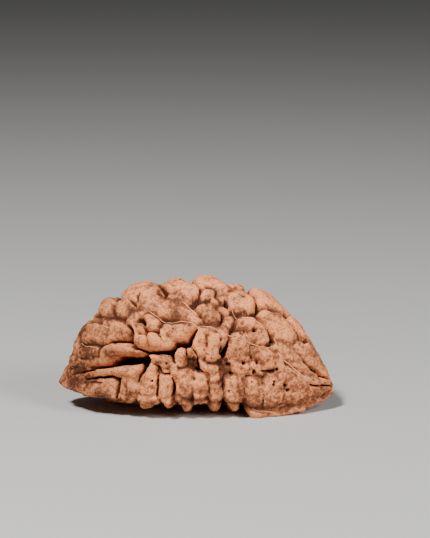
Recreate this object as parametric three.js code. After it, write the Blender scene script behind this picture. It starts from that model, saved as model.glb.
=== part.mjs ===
// A one mukhi rudraksha: the stone of a blue marble fruit, half-moon shaped, grown as one piece.
// Millimetres, +Z up. X runs from the blunt tip (-) to the beak (+), -Y is the front face, and the
// origin is under the middle of the stone, on the surface that its seam rests on.
//
// The skin is worked out on rays that leave an axis inside the stone. Where a ray meets the half-moon, the
// highest of many rounded lobes says how far above or below it the skin lies. Fissures then cut in, and
// the surface that the stone rests on cuts its lowest lobes flat.
import * as THREE from "three";

// Driving dimensions of the half-moon that the tops of the lobes touch.
const HALF_LENGTH = 13.7;
const TIP_HEIGHT = 2.3;
const CREST_HEIGHT = 13.2;
const HALF_THICKNESS = 5.4;
const SEAM_DROP = 0.1;
const BLUNT_SETBACK = 0.5;
const SETBACK_RISE = [0.1, 1];

// How full the half-moon's outlines are, as powers: the arch and the keel towards the beak and towards the
// blunt tip, the way the thickness runs out along the stone, and the section's top, foot and sides.
const BEAK_ARCH = 2.6;
const BLUNT_ARCH = 2.3;
const BEAK_KEEL = 4;
const BLUNT_KEEL = 3;
const THICKNESS_TAPER = [2.2, 0.6];
const TOP_FULLNESS = 2;
const FOOT_FULLNESS = 3;
const SIDE_FULLNESS = 2.2;

// How the front of the underside slopes up to the front edge, from this far behind the middle, and where
// along the stone the slope ends, so that the beak's rim reaches down to the surface.
const SLOPE = 0.287;
const SLOPE_START = 1.1;
const SLOPE_END = [3.8, 5.4];

// The view that the front's places are given in: level with the middle of the stone, from this angle
// above and this distance away. Depth along the line of sight counts for less than it is, so that a lobe
// keeps its outline as seen and runs back over the shoulder.
const VIEW_ELEVATION = THREE.MathUtils.degToRad(16);
const VIEW_DISTANCE = 210;
const SIGHT = new THREE.Vector3(0, Math.cos(VIEW_ELEVATION), -Math.sin(VIEW_ELEVATION));
const VIEW_UP = new THREE.Vector3(0, Math.sin(VIEW_ELEVATION), Math.cos(VIEW_ELEVATION));
const SIGHT_SHARE = 0.45;

// The axis that the rays leave, how far they may reach, and how finely places on them are searched for.
const AXIS_HEIGHT = 5.0;
const AXIS_HALF = 8.5;
const FAR = 20.0;
const HALVINGS = 24;
const SIGHT_STEP = 0.1;
const TINY = 0.001;

// How far the valleys between lobes lie under the half-moon, in the middle and at the tips, and how
// softly one lobe runs into the next.
const VALLEY_DEPTH = 0.85;
const TIP_VALLEY_DEPTH = 0.2;
const TIP_VALLEY_POWER = 4;
const CREASE = 0.12;

// The round of a lobe: how much wider it is than the part of it that its neighbours leave free, how far it
// falls from its ridge, as a share of its half width and at most, how square its section is, and where its
// round runs on into a straight flank.
const LOBE_SPREAD = 1.2;
const FALL_SHARE = 0.95;
const FALL_MOST = 1.25;
const ROUND_POWER = 2.4;
const FLANK_START = 0.9;

// How far the outlines of the lobes wander, over which distance, and three places in the noise for it.
const WANDER = 0.14;
const WANDER_SIZE = 2.2;
const WANDER_SHIFTS = [3.1, 17.3, 31.7];

// The least half width of a fissure, so that it is never narrower than the faces can show, and where its
// side begins and ends, in half widths.
const FISSURE_LEAST = 0.24;
const FISSURE_SIDE = [0.55, 1.3];

// How finely the skin is cut into faces: rings along the stone, spaced evenly at this angle round it, and
// points in each ring. A point takes the mean of rays that stand these many thirds of a face aside.
const RINGS = 79;
const RING_POINTS = 74;
const SHOULDER = Math.PI / 3;
const SHOULDER_SAMPLES = 400;
const THIRDS = [-1, 0, 1];
const ROUND_SPREAD = (2 * Math.PI) / RING_POINTS / THIRDS.length;

// The lobes of the front and the crest, as seen in the view. Each is [height over the half-moon, its ridge
// as [across, up, half width] points].
const FRONT_LOBES = [
  // The bean at the upper left, the shell behind it and the balls over it.
  [0.35, [[-10.8, 7.25, 1.1], [-9.4, 7.3, 1.05], [-7.8, 7.4, 1.1]]],
  [0.45, [[-9.0, 7.65, 0.85], [-8.1, 7.7, 0.85]]],
  [0.0, [[-12.2, 5.5, 0.45], [-12.2, 6.8, 0.5], [-11.5, 8.0, 0.5], [-10.2, 8.5, 0.5], [-9.2, 8.5, 0.45]]],
  [0.55, [[-9.0, 9.7, 0.9], [-8.8, 10.05, 0.95]]],
  [0.2, [[-8.2, 10.6, 0.5]]],
  [0.4, [[-7.4, 9.8, 1.0]]],
  [0.1, [[-6.6, 9.9, 0.6], [-6.3, 9.3, 0.5]]],
  // The lobe and the folded ridge under the bean.
  [0.12, [[-11.7, 5.4, 0.5], [-10.5, 5.45, 0.65]]],
  [-0.05, [[-12.8, 4.2, 0.3], [-11.5, 4.3, 0.4], [-9.9, 4.6, 0.45]]],
  [-0.25, [[-12.8, 3.5, 0.3], [-11.2, 3.85, 0.3]]],
  [-0.05, [[-12.7, 4.8, 0.4], [-12.1, 4.7, 0.3]]],
  [0.1, [[-9.6, 4.5, 0.45], [-8.8, 4.75, 0.45]]],
  [0.3, [[-9.2, 5.2, 0.55], [-8.5, 5.75, 0.5], [-7.6, 5.85, 0.45]]],
  [0.3, [[-7.3, 5.7, 0.48], [-6.8, 5.3, 0.36]]],
  [-0.2, [[-6.6, 5.1, 0.35], [-5.9, 5.4, 0.35]]],
  // The lower left limb, its leg, its foot and its tip.
  [0.1, [[-12.3, 2.65, 0.45], [-11.0, 3.05, 0.5], [-9.9, 3.35, 0.45], [-8.7, 3.3, 0.38], [-7.6, 3.4, 0.5]]],
  [0.2, [[-7.3, 3.35, 0.5], [-6.65, 3.1, 0.9], [-6.8, 2.2, 0.98], [-6.85, 1.4, 0.98]]],
  [0.2, [[-12.2, 1.95, 0.6], [-10.4, 1.8, 0.95], [-8.95, 1.8, 0.85]]],
  [0.05, [[-13.5, 2.2, 0.38], [-12.8, 2.25, 0.75], [-12.2, 2.3, 0.8]]],
  // The knuckled mass at the middle left.
  [-0.2, [[-6.0, 8.3, 0.9], [-5.8, 7.1, 1.0], [-4.6, 6.9, 1.15], [-3.4, 6.9, 1.0]]],
  [0.15, [[-6.8, 8.5, 0.4], [-6.2, 8.9, 0.6], [-5.6, 9.1, 0.45]]],
  [0.3, [[-6.35, 8.1, 0.4], [-6.25, 7.4, 0.42]]],
  [0.5, [[-5.7, 7.6, 0.5]]],
  [0.2, [[-5.2, 7.8, 0.45]]],
  [0.5, [[-4.75, 8.45, 0.58], [-4.35, 8.1, 0.68]]],
  [0.4, [[-5.9, 6.8, 0.52], [-5.5, 6.55, 0.55]]],
  [0.5, [[-4.4, 6.7, 0.64], [-3.95, 6.5, 0.64]]],
  [0.35, [[-3.45, 7.4, 0.36], [-3.2, 6.6, 0.45]]],
  [0.15, [[-3.0, 6.15, 0.5]]],
  // The long lobe beside it.
  [0.35, [[-2.9, 7.5, 0.85], [-1.9, 7.4, 0.95], [-0.9, 7.6, 0.75], [-0.5, 7.8, 0.55]]],
  // The wrinkled dome, its folded side and the long belly under it.
  [0.65, [[-6.0, 11.05, 1.5], [-5.2, 11.1, 1.5]]],
  [0.15, [[-4.5, 11.7, 0.75], [-3.6, 11.5, 0.55]]],
  [0.45, [[-5.3, 10.6, 0.8], [-4.6, 10.4, 0.8]]],
  [0.3, [[-5.0, 10.0, 0.95], [-3.6, 9.9, 1.1], [-2.0, 9.5, 1.05], [-0.7, 8.9, 0.85], [0.1, 8.4, 0.55]]],
  // The upper middle.
  [0.4, [[-2.7, 11.9, 1.0], [-2.2, 12.15, 1.0]]],
  [0.5, [[-1.6, 11.8, 0.75], [-0.7, 11.3, 1.0]]],
  [0.15, [[-2.4, 10.9, 0.8], [-1.2, 10.5, 0.7]]],
  [0.35, [[0.4, 12.4, 0.85], [1.2, 12.45, 0.9], [2.1, 12.05, 0.8], [2.8, 11.5, 0.55]]],
  [0.2, [[0.8, 11.3, 0.55], [1.4, 11.4, 0.6]]],
  [0.1, [[2.3, 11.2, 0.4], [2.7, 10.9, 0.35]]],
  [0.1, [[1.8, 10.4, 0.42]]],
  [0.0, [[0.6, 10.7, 0.3]]],
  [0.2, [[0.9, 9.6, 0.95], [1.5, 9.0, 1.0]]],
  [-0.05, [[2.4, 9.8, 0.4], [2.9, 9.5, 0.4]]],
  [0.1, [[2.7, 7.8, 0.5], [3.15, 8.6, 0.55]]],
  [-0.5, [[3.75, 8.1, 0.5]]],
  [0.1, [[4.5, 8.25, 0.65], [5.3, 8.15, 0.7]]],
  [0.0, [[0.4, 8.0, 0.35], [1.7, 7.75, 0.45], [2.8, 7.3, 0.4]]],
  // The upper right.
  [0.4, [[4.1, 10.6, 1.1], [4.8, 10.1, 1.05]]],
  [0.0, [[3.3, 11.9, 0.5], [4.3, 12.0, 0.5]]],
  [0.1, [[4.6, 11.2, 0.5]]],
  [0.35, [[5.8, 11.3, 0.6], [6.6, 10.9, 0.9], [7.3, 10.3, 0.95], [8.2, 9.7, 0.5]]],
  [0.35, [[6.9, 8.8, 0.8], [7.9, 8.4, 1.0], [8.8, 7.4, 1.1], [9.2, 6.9, 0.95]]],
  [0.2, [[9.5, 8.6, 0.55], [10.2, 7.9, 0.6], [10.5, 7.2, 0.4]]],
  [0.05, [[6.3, 7.7, 0.75], [6.6, 6.9, 0.8]]],
  // The ridges that run together at the beak.
  [0.1, [[8.5, 5.9, 0.8], [9.6, 4.9, 0.85], [10.8, 3.8, 0.7], [11.8, 3.0, 0.45]]],
  [0.15, [[9.9, 6.1, 0.7], [10.8, 5.0, 0.6], [12.0, 3.8, 0.5], [13.0, 2.8, 0.35]]],
  [-0.05, [[11.3, 6.1, 0.35], [12.2, 5.1, 0.35], [12.9, 3.8, 0.3]]],
  [0.1, [[11.2, 2.65, 0.4], [12.3, 2.4, 0.4], [13.2, 2.3, 0.3]]],
  // The smooth field under the beak's ridges, and the lobes beside it.
  [0.1, [[9.0, 2.5, 1.7], [10.2, 1.5, 1.7]]],
  [0.1, [[8.2, 1.0, 1.3], [9.8, 0.9, 1.2]]],
  [0.0, [[10.5, 1.2, 1.2], [12.0, 1.3, 0.9], [13.2, 1.6, 0.4]]],
  [0.05, [[7.7, 0.8, 1.1], [7.8, 2.3, 1.3]]],
  [-0.05, [[5.7, 0.1, 0.5], [7.5, 0.0, 0.55], [9.5, 0.1, 0.55], [11.2, 0.55, 0.5]]],
  [0.1, [[6.7, 5.1, 1.0], [7.3, 4.6, 1.1]]],
  [-0.05, [[7.9, 5.6, 0.4], [8.3, 4.4, 0.5], [8.4, 3.7, 0.5]]],
  [0.15, [[4.0, 5.6, 1.3], [4.7, 5.4, 1.2]]],
  [0.1, [[5.8, 5.4, 0.8]]],
  [-0.05, [[3.6, 4.4, 0.5], [4.1, 3.8, 0.8], [4.4, 3.2, 0.8]]],
  [0.0, [[4.6, 3.9, 0.9], [5.6, 3.8, 0.95], [6.4, 3.6, 0.8]]],
  [-0.4, [[2.6, 4.1, 0.7], [3.2, 3.5, 0.6]]],
  [-0.4, [[2.5, 3.7, 0.5], [2.5, 2.7, 0.4]]],
  [0.0, [[3.7, 6.95, 0.5], [5.2, 6.95, 0.75], [6.2, 6.8, 0.8]]],
  // The columns of the lower edge, from left to right.
  [0.15, [[-4.95, 1.5, 1.1], [-4.95, 2.5, 0.9], [-4.85, 3.4, 0.5]]],
  [0.1, [[-3.3, 1.3, 0.75], [-3.25, 2.7, 0.7]]],
  [0.0, [[-2.5, 2.3, 0.3], [-2.45, 3.6, 0.35], [-2.4, 4.0, 0.25]]],
  [0.15, [[-1.4, 1.4, 0.95], [-1.35, 2.8, 0.95]]],
  [0.15, [[0.15, 1.4, 1.0], [0.2, 2.3, 0.95]]],
  [0.12, [[1.75, 0.9, 0.75], [1.7, 1.8, 0.7]]],
  [0.1, [[1.6, 2.7, 0.65], [1.4, 3.6, 0.75]]],
  [0.05, [[0.4, 4.6, 0.35], [0.9, 3.9, 0.45]]],
  [0.1, [[3.65, 0.7, 1.1], [3.7, 2.0, 1.1]]],
  [0.1, [[5.75, 0.5, 1.0], [5.75, 2.2, 1.0]]],
  [0.05, [[-1.3, 2.2, 0.95], [0.2, 2.0, 0.9]]],
  [0.0, [[3.7, 1.4, 0.95], [5.75, 1.3, 0.95], [7.7, 1.4, 1.0]]],
  // Sunken pieces over the columns.
  [-0.45, [[-5.15, 5.0, 0.3], [-4.6, 4.7, 0.55], [-3.9, 4.4, 0.6]]],
  [-0.35, [[-3.3, 4.4, 0.85], [-3.3, 4.05, 0.8]]],
  [0.0, [[-1.85, 5.25, 0.65], [-1.7, 4.5, 0.6]]],
  [-0.2, [[-0.8, 5.4, 0.42], [-0.55, 5.3, 0.42]]],
  [-0.65, [[-0.7, 4.4, 0.6]]],
  // The twin ridges at the middle.
  [-0.3, [[0.7, 6.7, 1.0], [1.1, 5.9, 1.1]]],
  [0.5, [[0.25, 7.2, 0.55], [0.15, 6.3, 0.6], [0.35, 5.4, 0.52]]],
  [0.5, [[1.6, 6.8, 0.5], [1.6, 6.0, 0.6], [1.45, 5.15, 0.62]]],
  [0.25, [[0.4, 7.5, 0.5], [1.3, 7.5, 0.45]]],
  [0.12, [[2.25, 5.9, 0.55], [2.4, 6.8, 0.65]]],
];

// Knobs and lips of the seam along the lower front edge, given in the same way.
const SEAM_LOBES = [
  [-0.1, [[-12.6, 1.6, 0.3], [-11.2, 1.15, 0.35], [-9.9, 1.0, 0.35]]],
  [-0.05, [[-9.0, 1.1, 0.3], [-8.2, 0.95, 0.35]]],
  [0.15, [[-7.3, 0.95, 0.4], [-6.7, 0.75, 0.4]]],
  [0.0, [[-6.4, 0.9, 0.3], [-5.7, 0.9, 0.3]]],
  [0.2, [[-5.6, 0.75, 0.4], [-5.0, 0.6, 0.45], [-4.3, 0.65, 0.45]]],
  [0.55, [[-5.3, 0.5, 0.36], [-4.8, 0.4, 0.38]]],
  [0.3, [[-4.2, 0.6, 0.36], [-4.0, 0.5, 0.34]]],
  [0.45, [[-2.9, 0.5, 0.3], [-2.8, 0.35, 0.35]]],
  [0.15, [[-3.2, 0.7, 0.35], [-2.5, 0.45, 0.4]]],
  [0.05, [[-1.9, 0.6, 0.35]]],
  [0.3, [[-1.4, 0.45, 0.4], [-0.7, 0.35, 0.4]]],
  [0.9, [[-1.0, 0.35, 0.36], [-0.9, 0.05, 0.42]]],
  [0.1, [[-0.3, 0.45, 0.35], [0.6, 0.45, 0.4]]],
  [0.3, [[1.3, 0.35, 0.4], [1.9, 0.3, 0.4]]],
  [0.9, [[1.65, 0.35, 0.4], [1.65, 0.05, 0.45]]],
  [0.5, [[2.8, 0.2, 0.4], [4.0, 0.0, 0.4]]],
  [0.85, [[3.5, 0.35, 0.36], [3.3, 0.1, 0.42], [3.9, 0.0, 0.42]]],
  [0.75, [[4.9, -0.65, 0.38], [6.2, -0.7, 0.4], [7.6, -0.72, 0.38], [9.0, -0.65, 0.36]]],
  [0.65, [[9.0, -0.65, 0.36], [10.3, -0.45, 0.36]]],
  [0.45, [[10.3, -0.45, 0.36], [11.4, -0.1, 0.35]]],
  [0.25, [[11.4, -0.1, 0.35], [12.5, 0.55, 0.35], [13.3, 1.25, 0.28]]],
];

// Fissures of the front, as seen in the view, each [depth, its course as [across, up, half width] points].
const FRONT_FISSURES = [
  // The main fissure, from the blunt end to the middle, and its branches.
  [1.4, [[-12.1, 3.25, 0.05], [-11.2, 3.55, 0.1], [-10.2, 3.8, 0.14], [-9.2, 3.95, 0.18], [-8.6, 4.15, 0.3]]],
  [2.1, [[-9.1, 4.05, 0.2], [-8.4, 4.4, 0.42], [-7.7, 4.6, 0.6], [-6.4, 4.62, 0.55], [-5.5, 4.6, 0.45]]],
  [2.1, [[-5.75, 5.05, 0.3], [-5.65, 4.4, 0.42], [-5.7, 3.8, 0.3], [-5.85, 3.1, 0.12], [-6.0, 2.4, 0.05]]],
  [2.1, [[-5.4, 5.35, 0.2], [-4.6, 5.5, 0.18], [-3.8, 5.45, 0.18], [-3.0, 5.45, 0.26], [-2.5, 5.7, 0.3]]],
  [2.1, [[-2.65, 5.6, 0.26], [-2.55, 4.9, 0.18], [-2.35, 4.3, 0.1]]],
  [2.0, [[-2.5, 5.8, 0.25], [-2.0, 6.2, 0.3], [-1.2, 6.25, 0.32], [-0.7, 6.35, 0.28]]],
  [2.0, [[-0.75, 6.2, 0.24], [-0.5, 6.8, 0.22], [-0.2, 7.3, 0.14], [0.0, 7.7, 0.06]]],
  [1.3, [[-6.4, 6.05, 0.05], [-5.9, 5.75, 0.1], [-5.3, 5.5, 0.16]]],
  // Round the bean, and between the limb and its foot.
  [1.8, [[-7.0, 8.1, 0.07], [-6.7, 7.75, 0.15], [-6.5, 7.2, 0.18], [-6.6, 6.8, 0.15], [-6.9, 6.5, 0.1]]],
  [1.5, [[-9.8, 6.0, 0.05], [-9.2, 6.2, 0.1], [-8.5, 6.5, 0.12], [-7.4, 6.48, 0.12], [-6.8, 6.5, 0.12]]],
  [1.5, [[-11.0, 2.7, 0.05], [-10.0, 2.88, 0.1], [-9.0, 2.9, 0.11], [-8.3, 2.8, 0.14], [-8.0, 2.3, 0.15]]],
  [1.5, [[-8.0, 2.5, 0.15], [-8.05, 1.7, 0.11], [-8.15, 0.9, 0.08]]],
  // Between the knuckles.
  [0.35, [[-5.2, 7.65, 0.1], [-5.0, 7.4, 0.14], [-4.6, 7.3, 0.1], [-3.9, 7.3, 0.07]]],
  [0.9, [[-5.7, 8.65, 0.1], [-5.5, 8.4, 0.2], [-5.2, 8.2, 0.14]]],
  // Beside and over the columns.
  [0.9, [[-4.15, 3.75, 0.08], [-3.85, 3.35, 0.14], [-3.4, 3.12, 0.14], [-2.9, 3.2, 0.08]]],
  [0.6, [[-4.15, 2.9, 0.05], [-4.1, 2.0, 0.1], [-4.0, 1.0, 0.12]]],
  [1.0, [[-2.6, 2.8, 0.05], [-2.45, 2.2, 0.09], [-2.4, 1.5, 0.12], [-2.45, 0.9, 0.06]]],
  [0.9, [[0.1, 4.8, 0.08], [0.15, 4.3, 0.12], [0.2, 3.8, 0.12]]],
  [1.4, [[-0.1, 3.6, 0.1], [0.25, 3.4, 0.22], [0.5, 3.35, 0.1]]],
  [0.6, [[-1.1, 5.85, 0.06], [-1.12, 5.2, 0.1]]],
  // Beside and between the twin ridges.
  [0.6, [[-0.42, 6.0, 0.05], [-0.2, 5.5, 0.1], [0.05, 5.0, 0.1]]],
  [1.7, [[3.2, 6.75, 0.05], [3.0, 6.3, 0.12], [2.8, 5.7, 0.22], [2.6, 5.2, 0.22]]],
  [0.6, [[2.35, 5.9, 0.12], [2.25, 5.3, 0.18]]],
  [0.4, [[1.0, 6.6, 0.05], [0.98, 6.3, 0.09], [0.95, 5.9, 0.07]]],
  // The upper middle and right.
  [0.7, [[-6.7, 10.5, 0.06], [-6.25, 10.05, 0.12], [-5.95, 9.7, 0.06]]],
  [0.4, [[-5.55, 11.0, 0.06], [-5.75, 10.6, 0.1], [-5.8, 10.2, 0.06]]],
  [0.9, [[-4.0, 12.15, 0.1], [-3.6, 11.8, 0.16], [-3.1, 11.2, 0.16]]],
  [0.5, [[-0.4, 12.3, 0.06], [0.15, 11.7, 0.09], [0.2, 11.1, 0.09], [0.0, 10.5, 0.1]]],
  [0.5, [[-0.4, 10.3, 0.1], [0.3, 10.55, 0.14], [1.1, 10.6, 0.1]]],
  [0.4, [[0.2, 11.8, 0.05], [1.0, 11.8, 0.07], [1.8, 11.7, 0.08], [1.95, 11.2, 0.1], [1.85, 10.9, 0.06]]],
  [0.5, [[2.2, 9.6, 0.05], [2.5, 9.2, 0.12], [2.5, 8.7, 0.1], [2.25, 8.1, 0.06]]],
  [1.6, [[2.8, 10.65, 0.12], [3.0, 10.3, 0.16], [3.15, 9.95, 0.08]]],
  [1.1, [[5.3, 11.0, 0.1], [5.65, 10.6, 0.26], [6.0, 10.15, 0.14]]],
  [1.3, [[6.0, 9.95, 0.08], [6.25, 9.7, 0.16], [6.6, 9.5, 0.05]]],
  [0.9, [[8.5, 9.15, 0.1], [8.9, 9.15, 0.12]]],
  [1.2, [[7.15, 7.6, 0.06], [7.35, 7.2, 0.15], [7.6, 6.8, 0.13], [7.85, 6.4, 0.05]]],
  [0.9, [[9.0, 8.9, 0.06], [9.4, 8.2, 0.12], [10.0, 7.5, 0.12], [10.4, 6.8, 0.14], [10.7, 6.3, 0.1]]],
  // Between the ridges of the beak.
  [1.2, [[10.8, 6.3, 0.12], [11.3, 5.4, 0.24], [12.0, 4.5, 0.2], [12.9, 3.4, 0.1]]],
  [1.1, [[10.5, 4.5, 0.08], [11.4, 3.7, 0.17], [12.4, 2.95, 0.14], [13.1, 2.6, 0.08]]],
  [1.2, [[11.4, 2.15, 0.06], [12.2, 1.98, 0.1], [13.0, 1.93, 0.12], [13.6, 1.88, 0.12]]],
];

// The lobes of the underside: [height, its ridge as [x, angle round the stone, half width] points]. The
// angle is in degrees, 0 at the front, 90 on the crest and -90 underneath.
const UNDERSIDE_LOBES = [
  // The two lips of the groove, which the stone stands on.
  [0.4, [[-8.6, -101, 0.5], [-3.0, -103, 0.85], [3.0, -103, 0.85], [8.6, -101, 0.5]]],
  [0.45, [[-8.6, -124, 0.5], [-3.0, -124, 0.85], [3.0, -124, 0.85], [8.6, -124, 0.5]]],
  // Low swellings between the front edge and the lip.
  [0.1, [[-8.2, -58, 0.9], [-7.0, -66, 0.9]]],
  [0.15, [[-5.2, -60, 0.9], [-4.2, -72, 0.9]]],
  [0.1, [[-2.2, -62, 0.9], [-1.6, -74, 0.9]]],
  [0.1, [[0.8, -60, 0.9], [1.6, -76, 0.9]]],
  [0.1, [[3.6, -64, 0.8], [4.4, -78, 0.9]]],
  [0.15, [[6.6, -66, 0.9], [7.8, -80, 0.9]]],
  [0.05, [[-10.8, -60, 0.8], [-9.6, -80, 0.9]]],
  [0.05, [[10.4, -70, 0.8], [10.0, -90, 0.8]]],
];

// The single groove that gives the stone its name, between its two lips, and the fissures of the back,
// each [depth, its course as [x, angle, half width] points].
const OTHER_FISSURES = [
  [1, [[-11.2, -113, 0.2], [-6, -114, 0.28], [0, -113, 0.28], [6, -114, 0.28], [11.8, -112, 0.2]]],
  [1.9, [[-9, 150, 0.16], [-6.5, 158, 0.26], [-4, 157, 0.26], [-2.2, 163, 0.26], [0.5, 164, 0.16]]],
  [1.7, [[-2.2, 163, 0.14], [-2.4, 176, 0.24], [-2, 184, 0.14]]],
  [1.6, [[3, 152, 0.14], [5.2, 147, 0.24], [6.6, 150, 0.24], [8.3, 161, 0.14]]],
  [1.6, [[-5.4, 128, 0.14], [-3.8, 134, 0.24], [-1.6, 133, 0.14]]],
  [1.5, [[1.2, 118, 0.14], [2, 128, 0.24], [3.6, 131, 0.14]]],
  [1.4, [[7.2, 118, 0.14], [8.6, 126, 0.24], [10, 137, 0.14]]],
  [1.5, [[-8.8, 112, 0.14], [-8.2, 122, 0.24], [-9.2, 133, 0.14]]],
  [1.4, [[-5.6, 186, 0.14], [-5.5, 204, 0.14]]],
  [1.4, [[3.9, 186, 0.14], [4, 206, 0.14]]],
  [1.3, [[11, 184, 0.14], [12.2, 186, 0.24], [13.4, 188, 0.14]]],
];

// The rows of lobes of the back: angle, spacing along the row, half length, half width, and turn of the
// long side. Each lobe is moved and sized a little at random.
const BACK_ROWS = [
  [115, 2.6, 1.6, 1.1, -15],
  [131, 2.5, 1.8, 1.15, 25],
  [149, 2.6, 1.9, 1.05, -25],
  [167, 2.3, 1.6, 1.0, 20],
  [189, 1.85, 1.7, 0.9, 88],
  [212, 2.1, 1.1, 0.55, 0],
];
const BACK_SEED = 11;
const BACK_ROW_REACH = 12.6;
const DEGREES_PER_MM = 9.5;
const BACK_TIP_SIZE = 0.6;
const BACK_MIDDLE_GAIN = 0.45;
const BACK_RISE = 0.15;

// By how much a lobe of the back is moved along and round, widened, lengthened, turned and raised.
const BACK_MOVE = 0.4;
const BACK_SWING = 4;
const BACK_WIDENING = 0.15;
const BACK_LENGTHENING = 0.25;
const BACK_TURN = 35;
const BACK_RAISE = 0.2;

// The factors that make a stream of numbers, and a lattice of values, look random.
const STREAM_FACTOR = 1664525;
const STREAM_STEP = 1013904223;
const STREAM_SIZE = 2 ** 32;
const LATTICE_FACTORS = [127.1, 311.7, 74.7];
const LATTICE_SCALE = 43758.5453;

// A stream of numbers between 0 and 1 that is the same each time, from one seed.
function numberStream(seed) {
  let state = seed;
  return () => {
    state = (state * STREAM_FACTOR + STREAM_STEP) % STREAM_SIZE;
    return state / STREAM_SIZE;
  };
}

// The lobes of the back, row by row, smaller towards the tips, each a short ridge.
function backLobes() {
  const next = numberStream(BACK_SEED);
  const spread = (amount) => (next() - 0.5) * 2 * amount;
  const lobes = [];
  for (const [rowAngle, spacing, long, short, rowTurn] of BACK_ROWS) {
    const offset = next() * spacing;
    for (let rowX = -BACK_ROW_REACH + offset; rowX < BACK_ROW_REACH; rowX += spacing) {
      const size = BACK_TIP_SIZE + BACK_MIDDLE_GAIN * Math.sqrt(1 - (rowX / HALF_LENGTH) ** 2);
      const x = rowX + spread(BACK_MOVE);
      const angle = rowAngle + spread(BACK_SWING);
      const width = short * size * (1 + spread(BACK_WIDENING));
      const half = Math.max(long * size * (1 + spread(BACK_LENGTHENING)) - width, 0);
      const turn = THREE.MathUtils.degToRad(rowTurn + spread(BACK_TURN));
      const rise = BACK_RISE + spread(BACK_RAISE);
      const across = half * Math.cos(turn);
      const round = half * Math.sin(turn) * DEGREES_PER_MM;
      lobes.push([rise, [[x - across, angle + round, width], [x + across, angle - round, width]]]);
    }
  }
  return lobes;
}

// A fixed random value between 0 and 1 for each corner of a lattice.
function cornerValue(...corner) {
  const mixed = corner.reduce((sum, value, axis) => sum + value * LATTICE_FACTORS[axis], 0);
  const s = Math.sin(mixed) * LATTICE_SCALE;
  return s - Math.floor(s);
}

// Smooth noise between -1 and 1: the corner values of a lattice, blended in between.
function smoothNoise(point, size, shift) {
  const q = [point.x / size + shift, point.y / size + shift, point.z / size + shift];
  const cell = q.map(Math.floor);
  const t = q.map((value, axis) => value - cell[axis]).map((value) => value * value * (3 - 2 * value));
  let sum = 0;
  for (const a of [0, 1]) {
    for (const b of [0, 1]) {
      for (const c of [0, 1]) {
        const weight = (a ? t[0] : 1 - t[0]) * (b ? t[1] : 1 - t[1]) * (c ? t[2] : 1 - t[2]);
        sum += weight * cornerValue(cell[0] + a, cell[1] + b, cell[2] + c);
      }
    }
  }
  return 2 * sum - 1;
}

// Below 1 inside the half-moon, 1 on it. Its upper edge is an arch that falls faster to the beak and
// stands back a little over the blunt tip. Its lower edge rises to both tips, sooner to the blunt one, and
// slopes up to the front edge. Its thickness runs out towards both tips.
function halfMoon({ x, y, z }) {
  const setback = x > 0 ? 0 : BLUNT_SETBACK * THREE.MathUtils.smoothstep(z - TIP_HEIGHT, ...SETBACK_RISE);
  const s = Math.min(Math.abs(x) / (HALF_LENGTH - setback), 1);
  const arch = x > 0 ? 1 - s ** BEAK_ARCH : Math.sqrt(1 - s ** BLUNT_ARCH);
  const keel = x > 0 ? Math.sqrt(1 - s ** BEAK_KEEL) : 1 - s ** BLUNT_KEEL;
  const slope = SLOPE * Math.max(0, SLOPE_START - y) * (1 - THREE.MathUtils.smoothstep(x, ...SLOPE_END));
  const half = HALF_THICKNESS * (1 - s ** THICKNESS_TAPER[0]) ** THICKNESS_TAPER[1] + TINY;
  const above = z > TIP_HEIGHT;
  const height = above ? arch * (CREST_HEIGHT - TIP_HEIGHT) : keel * (TIP_HEIGHT + SEAM_DROP - slope);
  const beyond = Math.abs(x) > HALF_LENGTH - setback ? FAR : 0;
  const upwards = Math.abs(z - TIP_HEIGHT) / (Math.max(height, 0) + TINY);
  return upwards ** (above ? TOP_FULLNESS : FOOT_FULLNESS) + (Math.abs(y) / half) ** SIDE_FULLNESS + beyond;
}

// A ray, from its angle along the stone (0 at the beak, pi at the blunt tip) and its angle round it.
function rayAt(along, round) {
  const c = Math.cos(along);
  const s = Math.sin(along);
  const start = new THREE.Vector3(AXIS_HALF * c, 0, AXIS_HEIGHT + (TIP_HEIGHT - AXIS_HEIGHT) * c * c);
  const way = new THREE.Vector3(c, -s * Math.cos(round), s * Math.sin(round));
  return { start, way };
}

function pointOn(ray, distance) {
  return ray.start.clone().addScaledVector(ray.way, distance);
}

// How far along the ray the half-moon lies, by halving the distance again and again.
function reachOfHalfMoon(ray) {
  let near = 0;
  let far = FAR;
  for (let step = 0; step < HALVINGS; step += 1) {
    const middle = (near + far) / 2;
    if (halfMoon(pointOn(ray, middle)) < 1) near = middle;
    else far = middle;
  }
  return near;
}

// The point of the half-moon at x and an angle round it in degrees.
function placeAt(x, angle) {
  const round = THREE.MathUtils.degToRad(angle);
  let low = TINY;
  let high = Math.PI - TINY;
  for (let step = 0; step < HALVINGS; step += 1) {
    const middle = (low + high) / 2;
    const ray = rayAt(middle, round);
    if (pointOn(ray, reachOfHalfMoon(ray)).x > x) low = middle;
    else high = middle;
  }
  const ray = rayAt((low + high) / 2, round);
  return pointOn(ray, reachOfHalfMoon(ray));
}

// The point of the half-moon that is seen at a place of the view, or, over the crest, the point of the
// line of sight that passes nearest to it.
function placeSeen(across, up) {
  const target = VIEW_UP.clone().multiplyScalar(up).setX(across);
  const way = target.clone().addScaledVector(SIGHT, VIEW_DISTANCE).normalize();
  let nearest = null;
  let least = Infinity;
  for (let step = -FAR; step < FAR && least > 1; step += SIGHT_STEP) {
    const point = target.clone().addScaledVector(way, step);
    const value = halfMoon(point);
    if (value < least) {
      least = value;
      nearest = point;
    }
  }
  return nearest;
}

// A point with its depth along the line of sight counted for less.
function flattened(point) {
  return point.clone().addScaledVector(SIGHT, (SIGHT_SHARE - 1) * point.dot(SIGHT));
}

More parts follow.
